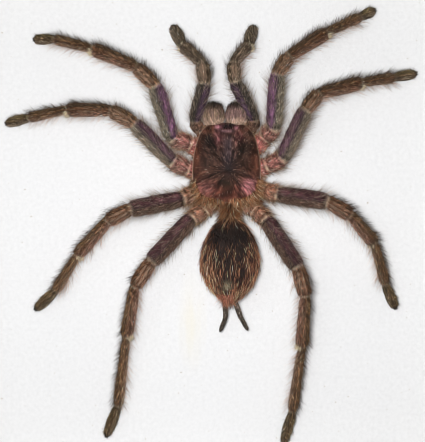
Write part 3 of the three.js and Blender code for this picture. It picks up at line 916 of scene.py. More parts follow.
def coxa_wool(limb, coat, rng, color):
    """Soft pale hairs at the sides of a coxa and trochanter, which close the gap to the next leg."""
    count = COXA_WOOL.count
    s = rng.uniform(0.5, limb.marks[2] + 0.5, count)
    angle = np.where(rng.random(count) < 0.5, 0, math.pi) + rng.normal(size=count) * 0.5
    roots, _, aims = limb.combed(COXA_WOOL, s, angle, rng)
    bends = rng.normal(size=(count, 3)) * 0.18
    tints = blend(color, fringe_tints(rng, count), 0.4) * shades(rng, count, 0.4)
    # The near-black share is partly painted shade in the crevices beside the coxae
    draw = rng.random(count)
    tints = recolor(recolor(tints, draw < 0.3, SHADE_HAIR), draw > 0.78, PALE_GOLD)
    widths = between(rng, COXA_WOOL.width, count)
    coat.grow(roots, aims, bends, between(rng, COXA_WOOL.length, count), widths, tints, steps=2)


def claw_tuft(limb, coat, rng):
    """The dark pad of hairs at a foot's tip."""
    count = CLAW_TUFT.count
    s = limb.length - rng.random(count) * 1.4
    angle = random_turns(rng, count)
    roots, outward, aims = limb.combed(CLAW_TUFT, s, angle, rng)
    coat.plant(CLAW_TUFT, rng, roots, aims, -0.2 * outward, FOOT_PAD * shades(rng, count, 0.3))


def claws(limb, coat):
    """The two small dark claws at a leg's tip."""
    tip = limb.centre[-1] - 0.3 * limb.tangent[-1]
    front, top = limb.front[-1], limb.top[-1]
    sides = np.array([[1], [-1]])
    roots = tip + 0.3 * sides * front
    aims = unit(limb.tangent[-1] + CLAW_SPREAD * sides * front + 0.1 * top)
    bends = np.tile(-0.35 * top, (2, 1))
    tints = np.tile(CLAW_COLOR, (2, 1))
    coat.grow(roots, aims, bends, np.full(2, CLAW_LENGTH), np.full(2, CLAW_WIDTH), tints, steps=4)


def limb_hairs(limb, coat, rng, palette, amount):
    pelt(limb, coat, rng, palette, amount)
    bristles(limb, coat, rng, palette, amount)
    halo(limb, coat, rng, amount)
    joint_tufts(limb, coat, rng, amount)
    claw_tuft(limb, coat, rng)


def build_palps(skin, hair):
    for seed, (name, plan) in enumerate(PALP_PLANS.items(), start=PALP_SEED):
        limb = Limb(name, plan, PALP_HEIGHTS, PALP_RADII, PALP_ARTICLES)
        limb_skin(limb, name, PALP_COLORS, skin)
        coat = Coat()
        limb_hairs(limb, coat, np.random.default_rng(seed), PALP_COLORS, PALP_AMOUNT)
        coat.build(f"{name}_hairs", hair, "leg")


def build_legs(skin, hair):
    for seed, (name, plan) in enumerate(LEG_PLANS.items(), start=LEG_SEED):
        pair = int(name.split("_")[1])
        rear = pair > 2
        palette = {1: LEG_COLORS, 2: SECOND_LEG_COLORS}.get(pair, REAR_LEG_COLORS)
        limb = Limb(name, plan, LEG_HEIGHTS, REAR_LEG_RADII if rear else LEG_RADII, LEG_ARTICLES)
        limb_skin(limb, name, palette, skin)
        coat = Coat()
        rng = np.random.default_rng(seed)
        limb_hairs(limb, coat, rng, palette, amount=1)
        coxa_wool(limb, coat, rng, REAR_WOOL if rear else WOOL)
        claws(limb, coat)
        coat.build(f"{name}_hairs", hair, "leg")


def build_spinnerets(skin, hair):
    for seed, (name, plan) in enumerate(SPINNERET_PLANS.items(), start=SPINNERET_SEED):
        rng = np.random.default_rng(seed)
        limb = Limb(name, plan, SPINNERET_HEIGHTS, SPINNERET_RADII, SPINNERET_ARTICLES)
        limb_skin(limb, name, SPINNERET_COLORS, skin, SPINNERET_SIDES)
        coat = Coat()
        s, angle = scatter(limb, rng, SPINNERET_DOWN.count, start=1)
        roots, outward, aims = limb.combed(SPINNERET_DOWN, s, angle, rng)
        tints = 1.3 * article_tints(limb, s, angle, SPINNERET_COLORS) * shades(rng, len(s), 0.8)
        coat.plant(SPINNERET_DOWN, rng, roots, aims, -0.1 * outward, tints)
        coat.build(f"{name}_hairs", hair, "spinneret")


# ------------------------------ cephalothorax


def carapace_half_width(along):
    """Half-width for a share of the half-length; the carapace narrows towards the front."""
    return CARAPACE_HALF_WIDTH * (1 - CARAPACE_FRONT_TAPER * np.maximum(along, 0))


def carapace_plan(reach, turn):
    """Places on the board for a share of the outline's reach and a turn about the centre."""
    power = 2 / CARAPACE_SQUARENESS
    across = np.sign(np.cos(turn)) * np.abs(np.cos(turn)) ** power
    along = np.sign(np.sin(turn)) * np.abs(np.sin(turn)) ** power
    x = CARAPACE_CENTRE[0] + carapace_half_width(reach * along) * reach * across
    y = CARAPACE_CENTRE[1] + CARAPACE_HALF_LENGTH * reach * along
    return x, y


def carapace_reach(x, y):
    """The share of the outline's reach at a place: 1 at the rim."""
    along = (y - CARAPACE_CENTRE[1]) / CARAPACE_HALF_LENGTH
    across = np.abs(x - CARAPACE_CENTRE[0]) / carapace_half_width(along)
    power = CARAPACE_SQUARENESS
    return (across**power + np.abs(along) ** power) ** (1 / power)


def fovea_polar(x, y):
    """Distance from the fovea and the angle off the forward line, 0 to pi on both sides."""
    dx, dy = x - FOVEA[0], y - FOVEA[1]
    return np.hypot(dx, dy), np.abs(np.arctan2(dx, dy))


def groove_share(x, y):
    """How deep a place is in one of the grooves that run out from the fovea."""
    away, angle = fovea_polar(x, y)
    lanes = np.array([HEAD_ANGLE, *THORAX_GROOVES])
    gaps = np.abs(angle[..., None] - lanes).min(-1)
    return bump(gaps, GROOVE_WIDTH) * ramp(away, 0.8, 3) * (1 - ramp(carapace_reach(x, y), 0.6, 0.9))


def fovea_share(x, y, width, length):
    """1 in the pit of the thorax, falling off sideways and lengthways."""
    return bump(x - FOVEA[0], width) * bump(y - FOVEA[1], length)


def carapace_height(x, y):
    reach = np.clip(carapace_reach(x, y), 0, 1)
    away, angle = fovea_polar(x, y)
    height = CARAPACE_RIM_HEIGHT + CARAPACE_RISE * np.sqrt(1 - reach**2)
    head = (1 - ramp(angle, HEAD_ANGLE - 0.1, HEAD_ANGLE + 0.1)) * ramp(away, 1, 5)
    height = height + HEAD_RISE * head * (1 - ramp(reach, 0.8, 1))
    height = height - GROOVE_DEPTH * groove_share(x, y)
    pit = FOVEA_DEPTH * fovea_share(x, y, *FOVEA_HALF_SIZES)
    from_eyes = np.hypot(x - EYE_MOUND[0], (y - EYE_MOUND[1]) * 1.3)
    mound = EYE_MOUND_RISE * bump(from_eyes, EYE_MOUND_WIDTH)
    ripple = RIPPLE_DEPTH * mottle(on_board(x, y), 1.3, seed=31)
    ripple = ripple + STREAK_RELIEF * radial_streaks(x, y)
    return height - pit + mound + ripple * (1 - ramp(reach, 0.85, 1))


def radial_streaks(x, y):
    """Fine streaks that run out from the fovea."""
    away, _ = fovea_polar(x, y)
    turn = np.arctan2(x - FOVEA[0], y - FOVEA[1])
    spread = np.stack([6 * np.cos(turn), 6 * np.sin(turn), away / 4], -1)
    return mottle(spread, 0.5, seed=45, waves=14)


def carapace_tints(x, y):
    """The carapace's named patches and its streaks, with a pale rim at the sides."""
    points = on_board(x, y)
    reach = carapace_reach(x, y)
    away, angle = fovea_polar(x, y)
    rusty = ramp(reach, 0.5, 1) * (0.5 + mottle(points, 3, seed=41))
    tints = blend(DARK_BROWN, RUST_BROWN, rusty)
    ragged = np.clip(1 + 0.4 * mottle(points, 1.4, seed=43), 0, 1.4)
    for centre, half, color, strength in CARAPACE_PATCHES.values():
        gap = np.hypot((x - centre[0]) / half[0], (y - centre[1]) / half[1])
        tints = blend(tints, color, strength * bump(gap, 1) * ragged)
    tints = 0.8 * tints * np.exp(1.9 * radial_streaks(x, y) * ramp(away, 1, 4))[..., None]
    tints = tints * (1 - 0.45 * groove_share(x, y))[..., None]
    tints = blend(tints, FOVEA_COLOR, fovea_share(x, y, 1.4, 0.7))
    sides = ramp(np.sin(angle), 0.1, 0.8)
    return blend(tints, TAN_RIM, ramp(reach, 0.955, 0.985) * (0.2 + 0.6 * sides))


def build_cephalothorax(skin, hair):
    turn = full_turn(CARAPACE_SIDES) + math.pi / CARAPACE_SIDES
    reaches = np.sin(np.linspace(1, 0, CARAPACE_RINGS, endpoint=False) * math.pi / 2)
    rings, tints = [], []
    for reach, height in reversed(UNDERSIDE):
        x, y = carapace_plan(reach, turn)
        rings.append(np.stack([x, y, np.full_like(x, height)], 1))
        tints.append(np.tile(UNDERSIDE_BROWN, (CARAPACE_SIDES, 1)))
    for reach in reaches:
        x, y = carapace_plan(reach, turn)
        rings.append(np.stack([x, y, carapace_height(x, y)], 1))
        tints.append(carapace_tints(x, y))
    points, faces = skin_rings(np.stack(rings))
    tints = np.concatenate([*tints, tints[0][:1], tints[-1][:1]])
    make_piece("cephalothorax_skin", points, faces, tints, skin, ("cephalothorax",))
    rng = np.random.default_rng(CARAPACE_SEED)
    coat = Coat()
    carapace_down(coat, rng)
    carapace_fringe(coat, rng)
    rear_brush(coat, rng)
    coat.build("cephalothorax_hairs", hair, "carapace")


def carapace_normals(x, y, step=0.2):
    """Outward directions, from the slope between places a step to each side."""
    slope_x = (carapace_height(x + step, y) - carapace_height(x - step, y)) / (2 * step)
    slope_y = (carapace_height(x, y + step) - carapace_height(x, y - step)) / (2 * step)
    return unit(np.stack([-slope_x, -slope_y, np.ones_like(x)], 1))


def on_skin(directions, outward):
    """Directions with the part that points off the skin taken out."""
    return directions - outward * (directions * outward).sum(1, keepdims=True)


def carapace_down(coat, rng):
    """Short fine hairs that lie close on the carapace and point outwards from the fovea."""
    count = CARAPACE_DOWN.count
    reach = np.sqrt(rng.random(count)) * 0.96
    x, y = carapace_plan(reach, random_turns(rng, count))
    outward = carapace_normals(x, y)
    roots = np.stack([x, y, carapace_height(x, y)], 1)
    away = unit(on_board(x - FOVEA[0], y - FOVEA[1]))
    aims = hair_aims(CARAPACE_DOWN, outward, on_skin(away, outward), rng)
    pale = rng.random(count) < 0.08
    tints = carapace_tints(x, y) * shades(rng, count, 0.7)
    tints = recolor(tints, pale, CARAPACE_PALE_HAIR * shades(rng, count, 0.3))
    coat.plant(CARAPACE_DOWN, rng, roots, aims, 0 * aims, tints)


def fringe_tints(rng, count):
    """Rust and gold hairs, some pale and some dark."""
    draw = rng.random(count)
    tints = blend(RUST_HAIR, GOLD_HAIR, rng.random(count))
    tints = recolor(recolor(tints, draw < 0.33, SHADE_HAIR), draw > 0.86, PALE_GOLD)
    return tints * shades(rng, count, 0.4)


def carapace_fringe(coat, rng):
    """Hairs that stand out from under the rim, longer behind."""
    turn = random_turns(rng, CARAPACE_FRINGE.count)
    rear = ramp(-np.sin(turn), -0.3, 0.9)
    kept = rng.random(len(turn)) < 0.3 + 0.7 * rear
    turn, rear = turn[kept], rear[kept]
    count = len(turn)
    x, y = carapace_plan(1 - rng.random(count) * 0.03, turn)
    roots = np.stack([x, y, CARAPACE_RIM_HEIGHT - rng.uniform(0.2, 1.4, count)], 1)
    away = unit(on_board(x - CARAPACE_CENTRE[0], y - CARAPACE_CENTRE[1]))
    upward = np.tile([0, 0, 1.0], (count, 1))
    aims = hair_aims(CARAPACE_FRINGE, upward, away, rng)
    lengths = between(rng, CARAPACE_FRINGE.length, count) + rear * rng.uniform(0.2, 1.8, count)
    bends = np.stack([0 * x, 0 * x, -0.35 * rng.random(count)], 1)
    widths = between(rng, CARAPACE_FRINGE.width, count)
    coat.grow(roots, aims, bends, lengths, widths, fringe_tints(rng, count), steps=2)


def rear_brush(coat, rng):
    """Long hairs on the rear edge, fanned out over the waist and the last coxae."""
    count = REAR_BRUSH.count
    turn = math.pi * rng.uniform(1.06, 1.94, count)
    x, y = carapace_plan(1 - 0.12 * rng.random(count) ** 2, turn)
    roots = np.stack([x, y, carapace_height(x, y)], 1)
    outward = carapace_normals(x, y)
    fan = 0.8 * (x - CARAPACE_CENTRE[0]) / CARAPACE_HALF_WIDTH + rng.normal(size=count) * 0.3
    comb = np.stack([fan, -np.ones(count), np.full(count, -0.2)], 1)
    aims = hair_aims(REAR_BRUSH, outward, on_skin(comb, outward), rng)
    behind = ramp(CARAPACE_CENTRE[1] - y, 6, 12)
    lengths = between(rng, REAR_BRUSH.length, count) + behind * rng.uniform(0, 3.6, count)
    bends = np.stack([rng.normal(size=count) * 0.45, 0 * x, -rng.uniform(0.1, 0.5, count)], 1)
    widths = between(rng, REAR_BRUSH.width, count)
    coat.grow(roots, aims, bends, lengths, widths, fringe_tints(rng, count), steps=3, tip_shade=1.2)


def ball(centre, radius):
    """Rings of a small closed ball, laid along z."""
    fall = np.linspace(-0.94, 0.94, EYE_RINGS) * math.pi / 2
    turn = full_turn(EYE_SIDES)
    wide = radius * np.cos(fall)[:, None]
    x = centre[0] + wide * np.cos(turn)
    y = centre[1] + wide * np.sin(turn)
    z = centre[2] + radius * np.sin(fall)[:, None] + 0 * x
    return np.stack([x, y, z], -1)


def build_eyes(material):
    points, faces, count = [], [], 0
    for dx, dy, radius in EYES:
        x, y = EYE_MOUND[0] + dx, EYE_MOUND[1] + dy
        height = float(carapace_height(np.array([x]), np.array([y]))[0])
        ball_points, ball_faces = skin_rings(ball((x, y, height + radius * 0.25), radius))
        points.append(ball_points)
        faces.append(ball_faces + count)
        count += len(ball_points)
    tints = np.tile(EYE_COLOR, (count, 1))
    make_piece("eyes", np.concatenate(points), np.concatenate(faces), tints, material)


# ------------------------------ chelicerae and fangs


def chelicera_tints(points, side):
    """Taupe, or mauve at the right, darker in front and paler at the base."""
    forward = (points[:, 1] - CHELICERA_Y) / CHELICERA_HALF_SIZES[1]
    mauve_share = 0.8 if side == "right" else 0.2
    tints = blend(TAUPE, MAUVE, mauve_share + 0.8 * mottle(points, 1.5, seed=51))
    tints = blend(tints, DARK_FRONT, ramp(forward, 0.4, 0.95))
    tints = blend(tints, PALE_BASE, 1 - ramp(forward, -0.55, -0.2))
    streak = mottle(points * np.array([1, 0.15, 1]), 0.45, seed=52, waves=14)
    return tints * np.exp(1.1 * streak)[:, None]


def chelicera_rings(centre):
    """Rings of an ellipsoid, laid along y."""
    fall = np.linspace(-0.985, 0.985, CHELICERA_RINGS) * math.pi / 2
    turn = full_turn(CHELICERA_SIDES)
    wide = np.cos(fall)[:, None]
    x = wide * np.cos(turn)
    y = np.sin(fall)[:, None] + 0 * x
    z = -wide * np.sin(turn)
    return centre + CHELICERA_HALF_SIZES * np.stack([x, y, z], -1)


def build_chelicera(side, skin, hair):
    name = f"chelicera_{side}"
    centre = np.array([CHELICERA_X[side], CHELICERA_Y, CHELICERA_HEIGHT])
    points, faces = skin_rings(chelicera_rings(centre))
    tints = 0.75 * chelicera_tints(points, side)
    make_piece(f"{name}_skin", points, faces, tints, skin, (name,))
    coat = Coat()
    chelicera_hairs(coat, np.random.default_rng(CHELICERA_SEEDS[side]), centre, side)
    coat.build(f"{name}_hairs", hair, "chelicera")


def chelicera_hairs(coat, rng, centre, side):
    """Down all over, combed forwards, and a dark brush on the front."""
    spokes = unit(rng.normal(size=(CHELICERA_DOWN.count, 3)))
    spokes = spokes[spokes[:, 1] > -0.8]
    count = len(spokes)
    roots = centre + spokes * CHELICERA_HALF_SIZES
    outward = unit(spokes / CHELICERA_HALF_SIZES)
    forward = np.tile([0, 1.0, 0], (count, 1))
    aims = hair_aims(CHELICERA_DOWN, outward, on_skin(forward, outward) + 0.05, rng)
    tints = chelicera_tints(roots, side) * shades(rng, count, 0.4)
    coat.plant(CHELICERA_DOWN, rng, roots, aims, -0.05 * outward, tints)
    front = roots[:, 1] > CHELICERA_Y + 0.5 * CHELICERA_HALF_SIZES[1]
    aims = hair_aims(CHELICERA_BRUSH, outward[front], forward[front], rng)
    coat.plant(CHELICERA_BRUSH, rng, roots[front], aims, 0 * aims, 0.45 * tints[front], steps=2)


def build_fang(side, material):
    marks = np.arange(len(FANG_LINE))
    places = np.linspace(0, marks[-1], FANG_RINGS)
    y, z = (np.interp(places, marks, values) for values in zip(*FANG_LINE))
    radii = np.interp(places, marks, FANG_RADII)
    centre = np.stack([np.full_like(y, CHELICERA_X[side]), y, z], 1)
    tangent = unit(np.gradient(centre, axis=0))
    across = np.tile([1.0, 0, 0], (len(centre), 1))
    above = np.cross(tangent, across)
    spokes = circle_spokes(across, above, full_turn(FANG_SIDES))
    points, faces = skin_rings(centre[:, None] + spokes * radii[:, None, None])
    tints = np.tile(FANG_COLOR, (len(points), 1))
    make_piece(f"fang_{side}_horn", points, faces, tints, material, (f"fang_{side}",))


# ------------------------------ abdomen


def abdomen_surface(fall, turn):
    """Places and outward directions. fall runs 0 to pi from front to rear, turn 90 is the top."""
    front_reach = ABDOMEN_FRONT_Y - ABDOMEN_WIDEST_Y
    rear_reach = ABDOMEN_WIDEST_Y - ABDOMEN_REAR_Y
    reach = np.where(fall < math.pi / 2, front_reach, rear_reach)
    power = 2 / ABDOMEN_ROUNDNESS
    along = np.sign(np.cos(fall)) * np.abs(np.cos(fall)) ** power
    wide = np.abs(np.sin(fall)) ** power
    x = ABDOMEN_HALF_WIDTH * wide * np.cos(turn)
    y = ABDOMEN_WIDEST_Y + reach * along
    z = ABDOMEN_HALF_HEIGHT * wide * np.sin(turn)
    points = np.stack([x + ABDOMEN_X, y, z + ABDOMEN_HEIGHT], -1)
    slope = np.sign(along) * np.abs(along) ** (ABDOMEN_ROUNDNESS - 1) / reach
    lean = np.maximum(wide, 0.05) ** (ABDOMEN_ROUNDNESS - 1)
    across = lean * np.cos(turn) / ABDOMEN_HALF_WIDTH
    upward = lean * np.sin(turn) / ABDOMEN_HALF_HEIGHT
    return points, unit(np.stack([across, slope, upward], -1))


def backwards(points, outward):
    """The comb direction on the abdomen: back along the body, closing in towards the rear."""
    behind = ramp(ABDOMEN_WIDEST_Y - points[:, 1], 0, 12)
    inward = -0.6 * behind * (points[:, 0] - ABDOMEN_X) / ABDOMEN_HALF_WIDTH
    comb = np.stack([inward, -np.ones(len(points)), np.zeros(len(points))], 1)
    return unit(on_skin(comb, outward))


def bare_share(points):
    away = np.hypot(points[..., 0] - BARE_PATCH[0], (points[..., 1] - BARE_PATCH[1]) * 1.1)
    return bump(away, BARE_PATCH_SIZE) * (points[..., 2] > ABDOMEN_HEIGHT)


def waist_ring(y, radius, turn):
    x = ABDOMEN_X + radius * np.cos(turn)
    z = ABDOMEN_HEIGHT + radius * np.sin(turn)
    return np.stack([x, np.full_like(turn, y), z], 1)


def build_abdomen(skin, hair):
    falls = np.linspace(0.1, math.pi - 0.06, ABDOMEN_RINGS)
    turn = -full_turn(ABDOMEN_SIDES)
    rings, outward = abdomen_surface(*np.meshgrid(falls, turn, indexing="ij"))
    rings = rings + outward * ABDOMEN_UNEVENNESS * mottle(rings, 3.5, seed=61)[..., None]
    waist = np.stack([waist_ring(y, radius, turn) for y, radius in WAIST_RINGS])
    points, faces = skin_rings(np.concatenate([waist, rings]))
    tints = blend(ABDOMEN_SKIN, BARE_SKIN, bare_share(points))
    tints = tints * (1 + 0.3 * mottle(points, 1.2, seed=62)[:, None])
    make_piece("abdomen_skin", points, faces, tints, skin, ("abdomen",))
    rng = np.random.default_rng(ABDOMEN_SEED)
    coat = Coat()
    abdomen_undercoat(coat, rng)
    abdomen_strands(coat, rng)
    rear_tuft(coat, rng)
    waist_hairs(coat, rng)
    coat.build("abdomen_hairs", hair, "abdomen_setae")


def abdomen_roots(rng, count):
    """Places all over the abdomen, but for the bare patch and most of the lane ahead of it."""
    fall = np.arccos(rng.uniform(-0.98, 0.99, count))
    turn = random_turns(rng, count)
    points, outward = abdomen_surface(fall, turn)
    ahead = np.clip(points[:, 1] - BARE_PATCH[1], 0, BARE_LANE_LENGTH)
    shifted = points - np.array([0, 1.0, 0]) * ahead[:, None]
    kept = rng.random(count) > 0.95 * bare_share(shifted)
    return points[kept], outward[kept]


def abdomen_hair_tints(points, rng, cream, orange):
    """Black across the front, dark along the middle and orange-brown at the sides and rear."""
    count = len(points)
    across = np.abs(points[:, 0] - ABDOMEN_X) / ABDOMEN_HALF_WIDTH
    warmth = 0.2 + 0.6 * ramp(across, 0.35, 0.85) + 0.45 * ramp(-points[:, 1], 18, 24)
    warmth = warmth - 0.6 * bump(points[:, 1] + 4.6, 2.6) + 0.4 * ramp(points[:, 1], -2.6, -0.6)
    warmth = warmth + 0.3 * ramp(-points[:, 1], 13, 19) * ramp(ABDOMEN_X - points[:, 0], 0, 4)
    draw = rng.random(count)
    tints = blend(BLACK_HAIR, BROWN_HAIR, warmth + rng.normal(size=count) * 0.35)
    tints = recolor(tints, draw < orange * (0.3 + warmth), ORANGE_HAIR)
    tints = recolor(tints, draw > 1 - cream * (0.3 + warmth), CREAM_HAIR)
    return tints * shades(rng, count, 0.45)


def abdomen_undercoat(coat, rng):
    points, outward = abdomen_roots(rng, UNDERCOAT.count)
    count = len(points)
    aims = hair_aims(UNDERCOAT, outward, backwards(points, outward), rng)
    tints = 0.6 * abdomen_hair_tints(points, rng, cream=0.03, orange=0.25)
    widths = between(rng, UNDERCOAT.width, count)
    coat.grow(points, aims, -0.1 * outward, between(rng, UNDERCOAT.length, count), widths, tints, steps=2)


def abdomen_strands(coat, rng):
    """Long wavy hairs combed backwards, scarce on the black band across the front."""
    points, outward = abdomen_roots(rng, STRANDS.count)
    kept = rng.random(len(points)) < 0.25 + 0.75 * ramp(-points[:, 1], 3, 6)
    points, outward = points[kept], outward[kept]
    count = len(points)
    back = backwards(points, outward)
    side = unit(np.cross(outward, back))
    phase = random_turns(rng, count)
    turns = rng.uniform(4, 11, count)
    size = rng.uniform(0.1, 0.5, count)

    def sway(t):
        swing = np.sin(phase[:, None] + turns[:, None] * t) - np.sin(phase)[:, None]
        return (size[:, None] * swing * t)[..., None] * side[:, None]

    aims = hair_aims(STRANDS, outward, back, rng)
    lengths = between(rng, STRANDS.length, count)
    widths = between(rng, STRANDS.width, count)
    tints = abdomen_hair_tints(points, rng, cream=0.28, orange=0.46)
    coat.grow(points, aims, -0.16 * outward, lengths, widths, tints, steps=5, sway=sway, tip_shade=1.2)


def waist_hairs(coat, rng):
    """Hairs that stand out round the waist and the abdomen's front, and hide the waist."""
    count = WAIST_HAIRS.count
    turn = random_turns(rng, count)
    y = rng.uniform(0.8, 6.5, count)
    radius = np.interp(y, [0.6, 1.4, 6.5], [2.6, 1.6, 1.2])
    outward = np.stack([np.cos(turn), np.zeros(count), np.sin(turn)], 1)
    roots = np.array([ABDOMEN_X, 0, ABDOMEN_HEIGHT]) + outward * radius[:, None]
    roots[:, 1] = y
    back = np.tile([0, -1.0, 0.1], (count, 1))
    aims = hair_aims(WAIST_HAIRS, outward, back, rng)
    tints = fringe_tints(rng, count) * 0.85
    coat.plant(WAIST_HAIRS, rng, roots, aims, 0.3 * back, tints, steps=2)


def rear_tuft(coat, rng):
    """The rough red-orange hair at the left of the rear end."""
    count = REAR_TUFT.count
    fall = rng.uniform(2.55, 3.08, count)
    turn = rng.uniform(0.42, 0.8, count) * math.pi
    points, outward = abdomen_surface(fall, turn)
    back = np.tile([-0.1, -1.0, -0.1], (count, 1))
    aims = hair_aims(REAR_TUFT, outward, back, rng)
    # The dark share is partly painted shade in the gaps of the tuft
    dark = rng.random(count) < 0.42
    tints = recolor(TUFT_RED, dark, BROWN_HAIR * 0.7) * shades(rng, count, 0.55)
    bends = rng.normal(size=(count, 3)) * 0.5
    coat.plant(REAR_TUFT, rng, points, aims, bends, tints, steps=3)


# ------------------------------ frame materials


def wood_material(name, stretch):
    """Black stain over open-grained wood; stretch draws the grain out along the rail."""
    material, tree, shader = new_material(name, 0.42, 0.5)
    vector = object_coordinates(tree, stretch)
    grain = noise(tree, vector, 900, detail=6, roughness=0.65)
    pores = noise(tree, vector, 2600, detail=2)
    stops = [(0.32, srgb(19, 15, 13)), (0.52, srgb(38, 29, 24)), (0.7, srgb(78, 56, 42))]
    tree.links.new(color_ramp(tree, grain, stops), shader.inputs["Base Color"])
    tree.links.new(map_range(tree, pores, 0.32, 0.58), shader.inputs["Roughness"])
    add_bump(tree, shader, grain, 0.5, 0.12)
    return material


def card_material(name, light, dark, fibre_per_m=700):
    material, tree, shader = new_material(name, 0.85, 0.25)
    fibres = noise(tree, object_coordinates(tree), fibre_per_m, detail=5)
    color = color_ramp(tree, fibres, [(0.35, dark), (0.65, light)])
    tree.links.new(color, shader.inputs["Base Color"])
    tree.links.new(map_range(tree, fibres, 0.75, 0.95), shader.inputs["Roughness"])
    add_bump(tree, shader, fibres, 0.3, 0.05)
    return material


def mount_board_material():
    """White board with fibres, a few specks and a faint yellowish run below the left of centre."""
    material, tree, shader = new_material("mount_board_white", 0.9, 0.2)
    vector = object_coordinates(tree)
    fibres = noise(tree, vector, 800, detail=6, roughness=0.65)
    paper = color_ramp(tree, fibres, [(0.3, BOARD_WHITE * 0.9), (0.7, BOARD_WHITE)])
    stained = mix_colors(tree, "MIX", stain_mask(tree, vector), paper, BOARD_STAIN)
    specks = color_ramp(tree, noise(tree, vector, 900, detail=1), [(0.745, BLACK), (0.775, WHITE)])
    color = mix_colors(tree, "MIX", specks, stained, BOARD_SPECK)
    tree.links.new(color, shader.inputs["Base Color"])
    add_bump(tree, shader, fibres, 0.2, 0.03)
    return material


def vector_math(tree, operation, vector, value=None):
    node = tree.nodes.new("ShaderNodeVectorMath")
    node.operation = operation
    tree.links.new(vector, node.inputs[0])
    if value is not None:
        node.inputs[1].default_value = value
    return node


def stain_mask(tree, vector):
    """1 in the middle of the stain, uneven and fading to 0 at its edges."""
    centre = to_row(np.array([*STAIN_CENTRE, 0.0]))
    width, height = STAIN_SIZE
    shift = vector_math(tree, "SUBTRACT", vector, tuple(centre))
    scale = vector_math(tree, "MULTIPLY", shift.outputs[0], (1 / (width * MM), 0, 1 / (height * MM)))
    length = vector_math(tree, "LENGTH", scale.outputs[0])
    fade = color_ramp(tree, length.outputs["Value"], [(0.0, (0.7, 0.7, 0.7)), (0.95, BLACK)])
    runs = noise(tree, object_coordinates(tree, (1, 1, 0.15)), 260, detail=3)
    uneven = color_ramp(tree, runs, [(0.3, BLACK), (0.7, WHITE)])
    return mix_colors(tree, "MULTIPLY", 1.0, fade, uneven)


def metal_material(name, color, roughness):
    material, tree, shader = new_material(name, roughness)
    shader.inputs["Metallic"].default_value = 1.0
    vector = object_coordinates(tree, (1, 1, 6))
    scratches = noise(tree, vector, 900, detail=3)
    tarnish = color_ramp(tree, scratches, [(0.3, color * 0.7), (0.65, color)])
    tree.links.new(tarnish, shader.inputs["Base Color"])
    tree.links.new(map_range(tree, scratches, roughness * 0.7, roughness * 1.4), shader.inputs["Roughness"])
    return material


def glass_material():
    """Clear glazing, thin enough that the specimen shows through it unveiled."""
    material, tree, shader = new_material("clear_glass", 0.03, 0.5)
    smears = noise(tree, object_coordinates(tree), 60, detail=2)
    color = color_ramp(tree, smears, [(0.3, srgb(30, 44, 40)), (0.7, srgb(44, 60, 54))])
    tree.links.new(color, shader.inputs["Base Color"])
    shader.inputs["Alpha"].default_value = GLASS_ALPHA
    return material


def dress(names, material):
    for name in names:
        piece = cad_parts[name]
        piece.data.materials.clear()
        piece.data.materials.append(material)


def dress_frame():
    dress(["rail_top", "rail_bottom"], wood_material("stained_wood_across", (0.06, 1, 1)))
    dress(["rail_left", "rail_right"], wood_material("stained_wood_upright", (1, 1, 0.06)))
    spacers = [f"spacer_{side}" for side in ("top", "bottom", "left", "right")]
    dress(spacers, card_material("white_card", srgb(240, 239, 235), srgb(226, 224, 218)))
    dress(["mount_board"], mount_board_material())
    dress(["back_board"], card_material("brown_hardboard", srgb(148, 110, 78), srgb(116, 84, 58), 800))
    dress(["glass_pane"], glass_material())
    points = [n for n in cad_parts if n.startswith("glazing_point")]
    dress(points, metal_material("dull_steel", srgb(196, 198, 200), 0.35))
    brass_pieces = ["sawtooth_hanger", "hanger_nail_left", "hanger_nail_right"]
    dress(brass_pieces, metal_material("dull_brass", srgb(206, 176, 112), 0.35))


# ------------------------------ studio


def add_camera():
    view_height = PHOTO_HEIGHT_PX * MM_PER_PIXEL
    camera = bpy.data.objects.new("photo_camera", bpy.data.cameras.new("photo_camera"))
    camera.data.sensor_width = SENSOR_MM
    camera.data.lens = SENSOR_MM * CAMERA_DISTANCE / view_height
    place = to_row(np.array([0.0, 0.0, float(CAMERA_DISTANCE)]))
    camera.location = Vector(place)
    camera.rotation_euler = (math.pi / 2, 0, 0)
    bpy.context.scene.collection.objects.link(camera)
    bpy.context.scene.camera = camera


def add_softbox(name, place, size, power):
    """A square soft light that faces the middle of the board."""
    light = bpy.data.lights.new(name, "AREA")
    light.shape = "SQUARE"
    light.size = size
    light.energy = power
    lamp = bpy.data.objects.new(name, light)
    middle = Vector(to_row(np.zeros(3)))
    right, up, forward = place
    lamp.location = middle + Vector((right, -forward, up))
    lamp.rotation_euler = (middle - lamp.location).to_track_quat("-Z", "Y").to_euler()
    bpy.context.scene.collection.objects.link(lamp)
    return lamp


def add_floor_sun():
    """A broad soft sun for the floor alone."""
    light = bpy.data.lights.new("floor_sun", "SUN")
    light.energy = FLOOR_SUN
    light.angle = SUN_WIDTH
    lamp = bpy.data.objects.new("floor_sun", light)
    bpy.context.scene.collection.objects.link(lamp)
    return lamp


def link_to_floor(lamp, floor, state):
    """With INCLUDE the lamp lights only the floor, with EXCLUDE everything else."""
    receivers = bpy.data.collections.new(f"{lamp.name}_receivers")
    receivers.objects.link(floor)
    receivers.collection_objects[0].light_linking.link_state = state
    lamp.light_linking.receiver_collection = receivers


def light_world(scene):
    """A dim world that the camera sees as a pale backdrop."""
    world = bpy.data.worlds.new("studio")
    scene.world = world
    world.use_nodes = True
    tree = world.node_tree
    background = tree.nodes["Background"]
    background.inputs["Color"].default_value = (1, 1, 1, 1)
    path = tree.nodes.new("ShaderNodeLightPath")
    strength = map_range(tree, path.outputs["Is Camera Ray"], WORLD_STRENGTH, BACKDROP_STRENGTH)
    tree.links.new(strength, background.inputs["Strength"])
    world.cycles_visibility.glossy = False


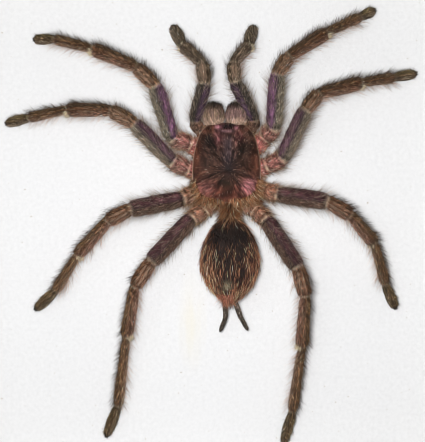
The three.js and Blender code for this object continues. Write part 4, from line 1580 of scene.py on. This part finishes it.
def light_studio(floor):
    scene = bpy.context.scene
    scene.view_settings.view_transform = "Standard"
    scene.cycles.filter_width = PIXEL_FILTER_WIDTH
    light_world(scene)
    boxes = {**SOFTBOXES, **REAR_SOFTBOXES}
    lamps = [add_softbox(f"softbox_{name}", *box) for name, box in boxes.items()]
    fill = add_softbox("front_fill", *FRONT_FILL)
    fill.data.spread = FILL_SPREAD
    fill.visible_glossy = False
    fill.visible_camera = False
    for lamp in [*lamps, fill]:
        link_to_floor(lamp, floor, "EXCLUDE")
    link_to_floor(add_floor_sun(), floor, "INCLUDE")


def lay_floor():
    """A plain pale floor. It throws no light back on to the frame, which the lamps light alone."""
    size = FLOOR_HALF_METRES
    corners = [(-size, -size, 0), (size, -size, 0), (size, size, 0), (-size, size, 0)]
    mesh = bpy.data.meshes.new("floor")
    mesh.from_pydata(corners, [], [(0, 1, 2, 3)])
    floor = bpy.data.objects.new("floor", mesh)
    bpy.context.scene.collection.objects.link(floor)
    material, tree, shader = new_material("pale_floor", 0.8, 0.2)
    cloudy = noise(tree, object_coordinates(tree), 3, detail=2)
    color = color_ramp(tree, cloudy, [(0.3, srgb(228, 228, 226)), (0.7, srgb(234, 234, 232))])
    tree.links.new(color, shader.inputs["Base Color"])
    mesh.materials.append(material)
    floor.visible_diffuse = False
    return floor


# ------------------------------ everything


def build():
    add_camera()
    light_studio(lay_floor())
    dress_frame()
    skin = tinted_material("leg_cuticle", 0.45, 0.25, 900, 0.25)
    hair = tinted_material("setae", 0.5, 0.2, 1500, 0.15, bump_mm=0.02)
    carapace = tinted_material("carapace_cuticle", 0.4, 0.25, 1500, 0.35)
    horn = tinted_material("polished_horn", 0.12, 0.6, 900, 0.1, bump_mm=0.02)
    build_legs(skin, hair)
    build_palps(skin, hair)
    build_spinnerets(skin, hair)
    build_cephalothorax(carapace, hair)
    build_eyes(horn)
    for side in ("left", "right"):
        build_chelicera(side, skin, hair)
        build_fang(side, horn)
    build_abdomen(skin, hair)


build()
